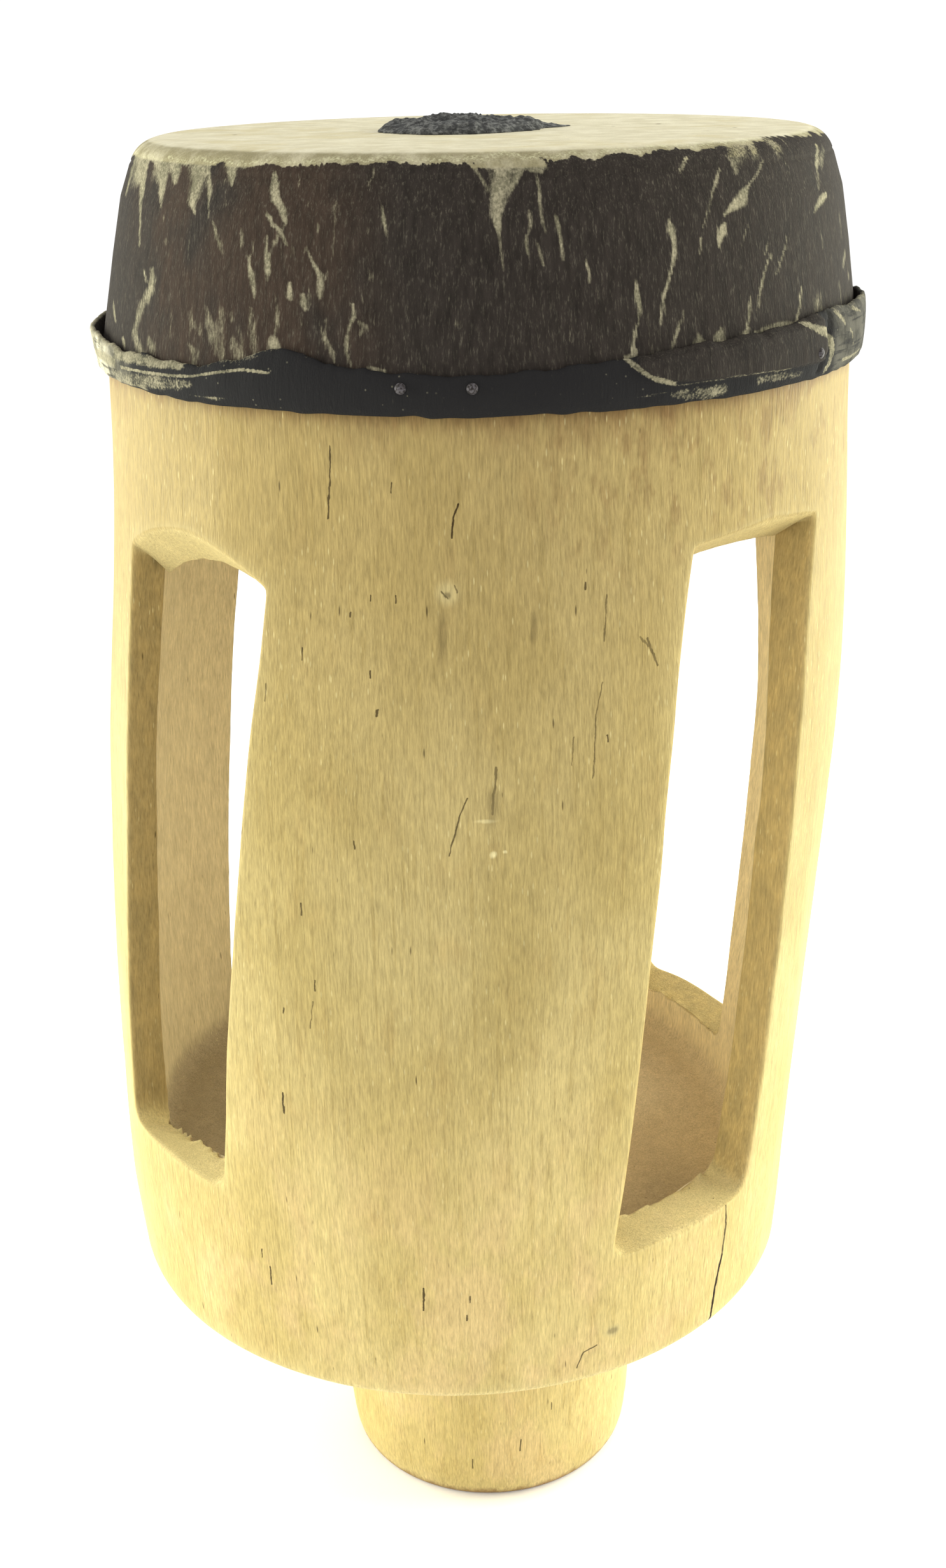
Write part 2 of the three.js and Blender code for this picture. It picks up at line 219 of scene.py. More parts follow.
class Bench:
    """The node tree of one material."""

    def __init__(self, name: str) -> None:
        """Start an empty node tree in a new material."""
        self.material = bpy.data.materials.new(name)
        self.material.use_nodes = True
        self.tree = self.material.node_tree
        self.tree.nodes.clear()
        self.shared: dict[str, Wire] = {}

    def node(
        self,
        kind: str,
        settings: dict[str, Any] | None = None,
        sockets: dict[str | int, Any] | None = None,
        output: str | int = 0,
    ) -> Wire:
        """Add one node.

        Args:
            kind: The node's type.
            settings: Its properties, set before its sockets.
            sockets: Values or wires for its inputs.
            output: The output that is returned.

        Returns:
            The wire from that output.
        """
        made = self.tree.nodes.new(kind)
        for key, value in (settings or {}).items():
            setattr(made, key, value)
        for key, value in (sockets or {}).items():
            if isinstance(value, Wire):
                self.tree.links.new(value.socket, made.inputs[key])
            else:
                made.inputs[key].default_value = value
        return Wire(self, made.outputs[output])

    def math(self, operation: str, *values: Wire | float) -> Wire:
        """Add a Math node on the given values."""
        return self.node("ShaderNodeMath", {"operation": operation}, dict(enumerate(values)))

    def place(self) -> Wire:
        """Return the point's own place on the object, in millimetres."""
        if "place" not in self.shared:
            point = self.node("ShaderNodeTexCoord", output="Object")
            scale = {0: point, "Scale": 1.0 / MM}
            self.shared["place"] = self.node("ShaderNodeVectorMath", {"operation": "SCALE"}, scale)
        return self.shared["place"]

    def stretched(self, x: float, y: float, z: float) -> Wire:
        """Return the place divided by a length along each axis, in millimetres."""
        return self.node(
            "ShaderNodeVectorMath", {"operation": "DIVIDE"}, {0: self.place(), 1: (x, y, z)}
        )

    def noise(self, x: float, y: float, z: float, detail: float = 2.0, rough: float = 0.5) -> Wire:
        """Return noise from about 0 to 1 with the given size along each axis, in millimetres."""
        sockets = {
            "Vector": self.stretched(x, y, z), "Scale": 1.0, "Detail": detail, "Roughness": rough,
        }
        return self.node("ShaderNodeTexNoise", {}, sockets, "Fac")

    def cells(self, x: float, y: float, z: float) -> Wire:
        """Return the distance to the nearest of scattered points, one in each cell of that size."""
        sockets = {"Vector": self.stretched(x, y, z), "Scale": 1.0, "Randomness": 1.0}
        return self.node("ShaderNodeTexVoronoi", {}, sockets, "Distance")

    def mark(self, name: str) -> Wire:
        """Return a value that the mesh carries at its points."""
        return self.node("ShaderNodeAttribute", {"attribute_name": name}, {}, "Fac")

    def step(self, value: Wire, low: float, high: float) -> Wire:
        """Return an eased step of value, from 0 at low to 1 at high; low may be the greater."""
        sockets = {"Value": value, "From Min": low, "From Max": high}
        return self.node("ShaderNodeMapRange", {"interpolation_type": "SMOOTHSTEP"}, sockets)

    def colour(self, share: Wire, first: Wire | Colour, second: Wire | Colour) -> Wire:
        """Return first at share 0 and second at share 1."""
        sockets = {0: share, 6: first, 7: second}
        return self.node("ShaderNodeMix", {"data_type": "RGBA"}, sockets, 2)

    def layered(self, colour: Wire | Colour, layers: tuple[tuple[Wire, Wire | Colour], ...]) -> Wire:
        """Return a colour under layers, each a share and the colour that it brings."""
        for share, tint in layers:
            colour = self.colour(share, colour, tint)
        return colour

    def shaded(self, colour: Wire, amount: Wire) -> Wire:
        """Return a colour multiplied by a number that varies over the surface."""
        return self.node(
            "ShaderNodeVectorMath", {"operation": "SCALE"}, {0: colour, "Scale": amount}
        )

    def relief(self, height: Wire, depth: float, strength: float = 1.0) -> Wire:
        """Return the normal bent by a height from 0 to 1 that stands for a depth in millimetres."""
        sockets = {"Height": height, "Distance": depth * MM, "Strength": strength}
        return self.node("ShaderNodeBump", {}, sockets)

    def finish(self, **sockets: Any) -> bpy.types.Material:
        """Close the tree with a Principled shader.

        Args:
            sockets: The shader's inputs, with spaces in their names written as underscores.

        Returns:
            The material.
        """
        named = {key.replace("_", " "): value for key, value in sockets.items()}
        shader = self.node("ShaderNodeBsdfPrincipled", {}, named)
        self.node_output(shader)
        return self.material

    def node_output(self, shader: Wire) -> None:
        """Join a shader to the material's surface."""
        made = self.tree.nodes.new("ShaderNodeOutputMaterial")
        self.tree.links.new(shader.socket, made.inputs["Surface"])


@dataclass(frozen=True)
class Timber:
    """The curves of the carved wood, in millimetres."""

    foot_height: float = 93.0
    body_bottom: float = 120.0
    edge_radius: float = 141.9
    belly_radius: float = 148.0
    belly_height: float = 340.0
    belly_power: float = 2.4
    shoulder_height: float = 502.0
    shoulder_radius: float = 140.5
    rim_height: float = 580.2
    wall_thin: float = 14.4
    wall_at_floor: float = 16.5
    wall_at_neck: float = 15.6
    cavity_shift: float = -1.6
    floor_height: float = 150.0
    floor_edge: float = 161.0
    floor_tilt: float = 8.0
    floor_high_side: float = -100.0
    floor_round: float = 9.0
    body_lean: float = -11.7
    neck_lean: float = 2.6
    rim_lean: float = 2.6
    hewn_depth: float = 0.6

    def outer_radius(self, z: Array) -> Array:
        """Return the barrel's radius: a power curve below the belly and an easy S above it."""
        depth = np.maximum(self.belly_height - z, 0.0) / (self.belly_height - self.body_bottom)
        below = (self.belly_radius - self.edge_radius) * depth**self.belly_power
        above = self.belly_radius - self.shoulder_radius
        return self.belly_radius - below - above * eased(
            z, self.belly_height, self.shoulder_height + 8.0
        )

    def wall(self, z: Array) -> Array:
        """Return the wall's thickness, thinnest at the belly."""
        lower = between(
            self.wall_at_floor, self.wall_thin, eased(z, self.floor_edge, self.belly_height)
        )
        return between(
            lower, self.wall_at_neck, eased(z, self.belly_height, self.shoulder_height - 40.0)
        )

    def lean(self, z: Array) -> Array:
        """Return the sideways offset of the wood's centre line."""
        foot = eased(z, self.foot_height, self.body_bottom)
        body = eased(z, self.body_bottom + 30.0, self.shoulder_height - 22.0)
        rim = eased(z, self.shoulder_height - 30.0, self.rim_height + 8.0)
        return foot * between(self.body_lean, self.neck_lean, body) + self.rim_lean * rim

    def hewn(self, azimuth: Array, z: Array) -> Array:
        """Return the shallow waves that the adze left between the foot and the hide."""
        risen = eased(z, self.body_bottom, self.body_bottom + 40.0)
        reach = risen * (1.0 - eased(z, self.shoulder_height - 40.0, self.shoulder_height))
        angle = np.radians(azimuth)
        waves = np.sin(5.0 * angle + z / 70.0) + 0.6 * np.sin(11.0 * angle - z / 45.0)
        return self.hewn_depth * reach * waves

    def point(self, azimuth: Array, radius: Array, z: Array, shift: Array = 0.0) -> Array:
        """Return the point at a radius from the leaning centre line."""
        angle = np.radians(azimuth)
        x = radius * np.sin(angle) + self.lean(z) + shift
        return np.stack(np.broadcast_arrays(x, -radius * np.cos(angle), z), axis=-1)

    def outside(self, azimuth: Array, z: Array) -> Array:
        """Return points of the outer wall: barrel, adze waves and two sizes of small unevenness."""
        radius = self.outer_radius(z) + self.hewn(azimuth, z)
        plain = self.point(azimuth, radius, z)
        uneven = 0.28 * Noise(3, (26.0, 26.0, 70.0)).at(plain)
        uneven += 0.1 * Noise(4, (7.0, 7.0, 16.0)).at(plain)
        return self.point(azimuth, radius + uneven, z)

    def cavity(self, z: Array) -> Array:
        """Return the sideways shift of the inside, which fades out in the neck."""
        return self.cavity_shift * (1.0 - eased(z, self.shoulder_height - 10.0, 541.0))

    def inside(self, azimuth: Array, z: Array) -> Array:
        """Return points of the inner wall: the gouge left scoops about 15 mm wide."""
        radius = self.outer_radius(z) - self.wall(z) + self.hewn(azimuth, z)
        return self.gouged(azimuth, radius, z, self.cavity(z))

    def gouged(self, azimuth: Array, radius: Array, z: Array, shift: Array = 0.0) -> Array:
        """Return points moved in and out by the marks of a gouge."""
        plain = self.point(azimuth, radius, z, shift)
        scoops = np.abs(Noise(5, (15.0, 15.0, 60.0)).at(plain))
        uneven = 0.9 * scoops + 0.15 * Noise(6, (4.0, 4.0, 9.0)).at(plain) - 0.3
        return self.point(azimuth, radius + uneven, z, shift)

    def floor_edge_height(self, azimuth: Array) -> Array:
        """Return the height where the floor meets the wall; the floor was cut a little aslant."""
        turn = np.radians(azimuth - self.floor_high_side)
        return self.floor_edge + self.floor_tilt * np.cos(turn)


@dataclass(frozen=True)
class Window:
    """One window, with each edge's azimuths from the lintel down to the sill, the lintel's heights
    at its left end, crown and right end, the fall of its faces towards the inside at their left
    and right ends, and how pale the lintel and the sill are from paring, partly as painted light."""

    middle: float
    left: tuple[float, ...]
    right: tuple[float, ...]
    lintel: tuple[float, float, float]
    lintel_slopes: tuple[float, float]
    sill: float
    sill_slopes: tuple[float, float]
    starts: float
    ends: float
    worn: float = 2.2
    splinters: float = 0.3
    wobble: float = 0.5
    pared: tuple[float, float] = (0.5, 0.5)
    seed: int = 20

    def edge(self, azimuths: tuple[float, ...], share: Array) -> Array:
        """Return an edge's azimuth, on the cubic nearest its given azimuths, lintel at share 1."""
        steps = np.linspace(1.0, 0.0, len(azimuths))
        return np.polyval(np.polyfit(steps, azimuths, 3), share)

    def heights(self, share: Array) -> Array:
        """Return the lintel's height, on the curve through its two ends and crown."""
        first, crown, last = self.lintel
        pull = 2.0 * crown - (first + last) / 2.0
        return (1 - share) ** 2 * first + 2 * share * (1 - share) * pull + share**2 * last


@dataclass(frozen=True)
class Loop:
    """A ring of columns round a window: along the sill, up the right, along the lintel, down."""

    across: int = 58
    along: int = 104

    def shares(self) -> tuple[Array, Array]:
        """Return each column's share of the way across and of the way up."""
        run = np.arange(self.across) / self.across
        rise = np.arange(self.along) / self.along
        flat = np.zeros(self.across)
        steep = np.zeros(self.along)
        across = np.concatenate([run, steep + 1.0, 1.0 - run, steep])
        up = np.concatenate([flat, rise, flat + 1.0, 1.0 - rise])
        return across, up


@dataclass(frozen=True)
class CarvedBody:
    """The wooden body: outside, inside, windows, floor, rim and foot, in one closed surface.

    The windows' sectors run from bottom to top. The rim and the foot are pairs of radius and
    height, and inner_worn is how far the windows' inner edges are rounded.
    """

    timber: Timber
    windows: tuple[Window, ...]
    loop: Loop = Loop()
    top: float = 470.0
    bottom: float = 166.0
    inner_worn: float = 1.3
    marks: tuple[str, ...] = ("inward", "arris", "pared")
    rim: tuple[tuple[float, float], ...] = (
        (138.75, 516.0), (137.2, 525.0), (134.15, 543.0), (130.15, 563.0), (126.4, 573.8),
        (124.8, 576.9), (122.5, 578.9), (120.0, 579.9), (117.0, 580.2), (114.2, 579.6),
        (113.0, 578.2), (112.6, 572.0), (116.2, 556.0), (119.9, 541.0), (122.8, 522.0),
    )
    foot: tuple[tuple[float, float], ...] = (
        (141.8, 121.9), (141.3, 120.8), (140.4, 120.0), (139.1, 119.3), (132.0, 117.0),
        (122.0, 113.8), (112.0, 110.4), (102.0, 107.0), (92.0, 103.6), (84.0, 100.4),
        (77.6, 97.0), (73.4, 92.8), (71.0, 88.0), (69.2, 81.0), (68.2, 72.0), (67.5, 60.0),
        (67.0, 46.5), (66.2, 33.0), (65.6, 22.0), (64.9, 12.0), (63.9, 5.6), (63.0, 2.4),
        (62.2, 0.9), (60.8, 0.1), (59.0, 0.0), (40.0, 0.0), (20.0, 0.0), (0.0, 0.0),
    )

    def azimuths(self) -> Array:
        """Return the azimuths of the columns that all parts share, once round."""
        share = np.arange(self.loop.across) / self.loop.across
        return np.concatenate([between(w.starts, w.ends, share) for w in self.windows])

    def softened(self, ring: Array, spread: float) -> Array:
        """Return a ring of values, each averaged with its neighbours under a bell of that spread."""
        reach = int(3 * spread) + 1
        weights = np.exp(-0.5 * (np.arange(-reach, reach + 1) / spread) ** 2)
        weights /= weights.sum()
        turns = [np.roll(ring, k) * w for k, w in zip(range(-reach, reach + 1), weights)]
        return np.sum(turns, axis=0)

    def mouth(self, window: Window) -> tuple[Array, Array, Array]:
        """Work out a window's outline on the outer wall.

        Args:
            window: The window.

        Returns:
            Azimuth, height and slope of the faces round the ring.
        """
        across, up = self.loop.shares()
        sides = between(window.edge(window.left, up), window.edge(window.right, up), across)
        z = between(window.sill, window.heights(across), up)
        on_lintel = up >= 1.0
        on_sill = up <= 0.0
        slope = np.where(on_lintel, between(*window.lintel_slopes, across), 0.0)
        slope = np.where(on_sill, between(*window.sill_slopes, across), slope)
        at_corner = self.softened((np.abs(across - 0.5) > 0.42) * (on_lintel | on_sill), 4.0)
        soft = np.clip(2.0 * at_corner, 0.0, 1.0)
        low = 1.0 - np.clip(up * 4.0, 0.0, 1.0)
        spread = between(self.softened(sides, 1.2), self.softened(sides, 3.4), low)
        lift = between(self.softened(z, 1.2), self.softened(z, 3.4), low)
        azimuth = between(sides, spread, soft)
        z = between(z, lift, soft)
        ring = np.stack([azimuth * WALL_DEGREE, z, np.full_like(z, window.seed * 9.0)], axis=-1)
        sideways = window.wobble * Noise(window.seed, (26.0, 26.0, 26.0)).at(ring) / WALL_DEGREE
        azimuth = azimuth + sideways
        z = z + window.wobble * Noise(window.seed + 1, (22.0, 22.0, 22.0)).at(ring)
        return azimuth, z, self.softened(slope, 1.5)

    def inner_mouth(self, window: Window, ring: tuple[Array, Array, Array]) -> tuple[Array, Array]:
        """Carry the outline through the wall, parallel to the window's middle line.

        Args:
            window: The window.
            ring: Azimuth, height and slope on the outer wall.

        Returns:
            Azimuth and height round the ring on the inner wall, found by stepping inwards until
            the distance from the cavity's own centre line is the cavity's radius.
        """
        timber = self.timber
        azimuth, z, slope = ring
        start = timber.point(azimuth, timber.outer_radius(z) + timber.hewn(azimuth, z), z)
        turn = np.radians(window.middle)
        depth = timber.wall(z)
        for _ in range(14):
            x = start[..., 0] - depth * np.sin(turn)
            y = start[..., 1] + depth * np.cos(turn)
            low = z - slope * depth
            away = x - timber.lean(low) - timber.cavity(low)
            found = np.degrees(np.arctan2(away, -y))
            radius = timber.outer_radius(low) - timber.wall(low) + timber.hewn(found, low)
            depth = depth + np.hypot(away, y) - radius
        return turned_to(found, window.middle), low

    def rounded(self, before: Array, edge: Array, after: Array) -> Array:
        """Return the rows of a worn edge, on the curve (1-t)^2 A + 2t(1-t) E + t^2 B."""
        bend = np.linspace(0.0, 1.0, 7)[1:-1, None, None]
        return (1 - bend) ** 2 * before + 2 * bend * (1 - bend) * edge + bend**2 * after

    def wall_rows(self, window: Window) -> tuple[Array, int, int]:
        """Work out the points of the wall round one window.

        Rows run from the sector's outer border to the window, through the wall and back.

        Args:
            window: The window in the sector.

        Returns:
            The points, the row where the window's edge starts and the row where the inner face
            does.
        """
        timber = self.timber
        across, up = self.loop.shares()
        border = between(window.starts, window.ends, across)
        azimuth, z, slope = self.mouth(window)
        inner_azimuth, inner_z = self.inner_mouth(window, (azimuth, z, slope))
        edge = timber.outside(azimuth, z)
        far = timber.inside(inner_azimuth, inner_z)
        border_z = between(self.bottom, self.top, up)
        reach = np.linalg.norm(timber.outside(border, border_z) - edge, axis=-1)
        share = np.linspace(0.0, 1.0, 15)[:, None] ** 0.8 * (1.0 - window.worn / reach)
        front = timber.outside(between(border, azimuth, share), between(border_z, z, share))
        depth = np.linalg.norm(far - edge, axis=-1)
        lip = between(edge, far, (window.worn / depth)[:, None])
        inner_lip = between(far, edge, (self.inner_worn / depth)[:, None])
        jamb = between(lip, inner_lip, np.linspace(0.0, 1.0, 7)[:, None, None])
        inner_border = timber.floor_edge_height(border) + timber.floor_round
        inner_border_z = between(inner_border, self.top, up)
        gap = np.linalg.norm(timber.inside(border, inner_border_z) - far, axis=-1)
        back_share = np.linspace(0.0, 1.0, 12)[:, None] ** 1.1
        back_share = self.inner_worn / gap + back_share * (1.0 - self.inner_worn / gap)
        back = timber.inside(
            between(inner_azimuth, border, back_share), between(inner_z, inner_border_z, back_share)
        )
        outer_round = self.rounded(front[-1], edge, lip)
        inner_round = self.rounded(inner_lip, far, back[0])
        grid = np.concatenate([front, outer_round, jamb, inner_round, back])
        return grid, len(front), len(grid) - len(back)

    def sector(self, skin: Skin, window: Window) -> None:
        """Add the wall round one window: outer face, worn edge, jamb, inner edge, inner face.

        Noise splinters the wood near its inner edge, most along the sill.

        Args:
            skin: The mesh being made.
            window: The window in the sector.
        """
        grid, first, last = self.wall_rows(window)
        up = self.loop.shares()[1]
        row = np.arange(len(grid))
        inward = np.clip((row - first + 1.0) / (last - first + 1.0), 0.0, 1.0)
        nearest = np.minimum(np.abs(row - first - 2.0), np.abs(row - last + 3.0))
        arris = np.exp(-((nearest / 2.6) ** 2))
        splinter = (inward > 0.05) * (inward < 0.97) * hill(row, last - 3.0, 3.0)
        broken = window.splinters * hill(up, 0.0, 0.02) + 0.25
        rough = Noise(window.seed + 2, (3.0, 3.0, 3.0)).at(grid)
        push = splinter[:, None] * broken * rough
        grid = grid + push[..., None] * np.array([0.4, 0.4, 1.0])
        pared = window.pared[0] * (up >= 1.0) + window.pared[1] * (up <= 0.0)
        pared = self.softened(pared, 1.6)[None, :]
        skin.add(grid, inward=inward[:, None], arris=arris[:, None], pared=pared)

    def neck(self, skin: Skin) -> None:
        """Add the band above the windows: up the shoulder, over the rim and down the inside."""
        timber = self.timber
        azimuth = self.azimuths()
        outer_z = np.linspace(self.top, timber.shoulder_height + 8.0, 15)[:, None]
        outer = timber.outside(azimuth[None, :], np.broadcast_to(outer_z, (15, len(azimuth))))
        rim = np.array(self.rim)
        over = timber.point(azimuth[None, :], rim[:, :1], rim[:, 1:])
        inner_z = np.linspace(timber.shoulder_height, self.top, 9)[:, None]
        inner = timber.inside(azimuth[None, :], np.broadcast_to(inner_z, (9, len(azimuth))))
        grid = np.concatenate([outer, over, inner])
        inward = eased(np.arange(len(grid)), 20.0, 27.0)
        skin.add(grid, inward=inward[:, None])

    def underside(self, skin: Skin) -> None:
        """Add the bottom edge, the slope under the body, the foot and its flat underside."""
        timber = self.timber
        azimuth = self.azimuths()
        low_z = np.linspace(self.bottom, timber.body_bottom + 3.2, 14)[:, None]
        wall = timber.outside(azimuth[None, :], np.broadcast_to(low_z, (14, len(azimuth))))
        profile = np.array(self.foot)
        plain = timber.point(azimuth[None, :], profile[:, :1], profile[:, 1:])
        cut = np.abs(Noise(8, (16.0, 16.0, 22.0)).at(plain)) - 0.35
        fine = Noise(9, (5.0, 5.0, 9.0)).at(plain)
        hewn = eased(profile[:, 1], 1.0, 12.0) * (1.0 - eased(profile[:, 1], 117.0, 121.0))
        radius = profile[:, :1] + hewn[:, None] * (0.9 * cut + 0.18 * fine)
        grid = np.concatenate([wall, timber.point(azimuth[None, :], radius, profile[:, 1:])])
        edge = hill(np.arange(len(grid)), 15.0, 2.0) + 0.8 * hill(np.arange(len(grid)), 35.5, 1.5)
        skin.add(grid, inward=0.0, arris=edge[:, None])

    def floor(self, skin: Skin) -> None:
        """Add the rounded foot of the inner wall and the shallow bowl of the floor.

        A quarter of an ellipse carries the wall into the floor; then the height eases down to the
        middle, with the gouge's marks across it.
        """
        timber = self.timber
        azimuth = self.azimuths()[None, :]
        edge = timber.floor_edge_height(azimuth)
        start = timber.inside(azimuth, edge + timber.floor_round)
        middle = np.stack([
            np.full(azimuth.shape, timber.body_lean), np.zeros(azimuth.shape),
            np.full(azimuth.shape, timber.floor_height),
        ], axis=-1)
        turn = np.linspace(0.0, np.pi / 2.0, 6)[:, None, None]
        corner = between(start, middle, 0.075 * (1.0 - np.cos(turn)))
        corner[..., 2] = (start[..., 2:] - timber.floor_round * np.sin(turn))[..., 0]
        share = np.linspace(0.0, 1.0, 15)[1:, None, None]
        bowl = between(corner[-1:], middle, share)
        fall = 1.0 - (1.0 - share[..., 0]) ** 2
        bowl[..., 2] = between(corner[-1:, :, 2], timber.floor_height, fall)
        scooped = np.abs(Noise(11, (20.0, 9.0, 20.0)).at(bowl)) - 0.4
        bowl[..., 2] += 1.2 * scooped * (1.0 - share[..., 0]) ** 0.3
        skin.add(np.concatenate([corner, bowl]), inward=1.0)

    def build(self) -> bpy.types.Object:
        """Make the whole body and dress it in bare wood."""
        skin = Skin("carved_body", self.marks)
        for window in self.windows:
            self.sector(skin, window)
        self.neck(skin)
        self.underside(skin)
        self.floor(skin)
        piece = skin.build()
        piece.data.materials.append(BareWood().build())
        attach(piece, BODY)
        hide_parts("drum_body")
        return piece


@dataclass(frozen=True)
class Crack:
    """A hairline in the wood through places given as azimuths and heights, and how dark it is."""

    places: tuple[tuple[float, float], ...]
    width: float = 0.4
    depth: float = 0.8


@dataclass(frozen=True)
class Knot:
    """A small knot or bruise: its azimuth and height, its size across and along the grain, and
    how dark and how pale it is."""

    place: tuple[float, float]
    size: tuple[float, float]
    depth: float = 0.6
    paleness: float = 0.0


@dataclass(frozen=True)
class Patches:
    """Soft patches in a finish: their size across and along the grain in millimetres, the values
    of their noise between which they come in, and how rough the noise is."""

    width: float
    length: float
    low: float
    high: float
    rough: float = 0.65

    def cover(self, bench: Bench) -> Wire:
        """Return 1 in the patches and 0 between them."""
        noise = bench.noise(self.width, self.width, self.length, 3.0, self.rough)
        return bench.step(noise, self.low, self.high)


@dataclass(frozen=True)
class Ticks:
    """Short marks along the grain, one in each cell of a size in millimetres, and the distances
    from a mark's middle, in cells, where it ends and where it is full."""

    width: float
    length: float
    ends: float
    full: float

    def cover(self, bench: Bench) -> Wire:
        """Return 1 in the marks and 0 between them."""
        return bench.step(bench.cells(self.width, self.width, self.length), self.ends, self.full)


class WoodGrain:
    """What all parts of the wood's finish share: its noises, the mesh's values and the place."""

    def __init__(self, bench: Bench, place: tuple[Wire, Wire, Wire]) -> None:
        """Add the noises; place is the distance round the wood, the height and x."""
        self.bench = bench
        self.round_mm, self.height, self.across = place
        self.depth = self.across.output("Y")
        self.broad = bench.noise(48.0, 48.0, 80.0, 2.0)
        self.mottle = bench.noise(5.0, 5.0, 13.0, 3.0, 0.65)
        self.lines = bench.noise(1.9, 1.9, 60.0, 3.0, 0.6)
        self.fibres = bench.noise(0.6, 0.6, 6.0, 3.0, 0.7)
        self.strips = bench.noise(1.2, 1.2, 12.0, 2.0, 0.6)
        self.inward = bench.mark("inward")
        self.pared = bench.mark("pared")
        self.outside = bench.step(self.inward, 0.12, 0.0)
        self.inside = bench.step(self.inward, 0.75, 1.0)
        self.jamb = bench.step(self.inward, 0.06, 0.25) * bench.step(self.inward, 1.0, 0.8)
        self.lit_side = bench.step(self.across, -110.0, 70.0)


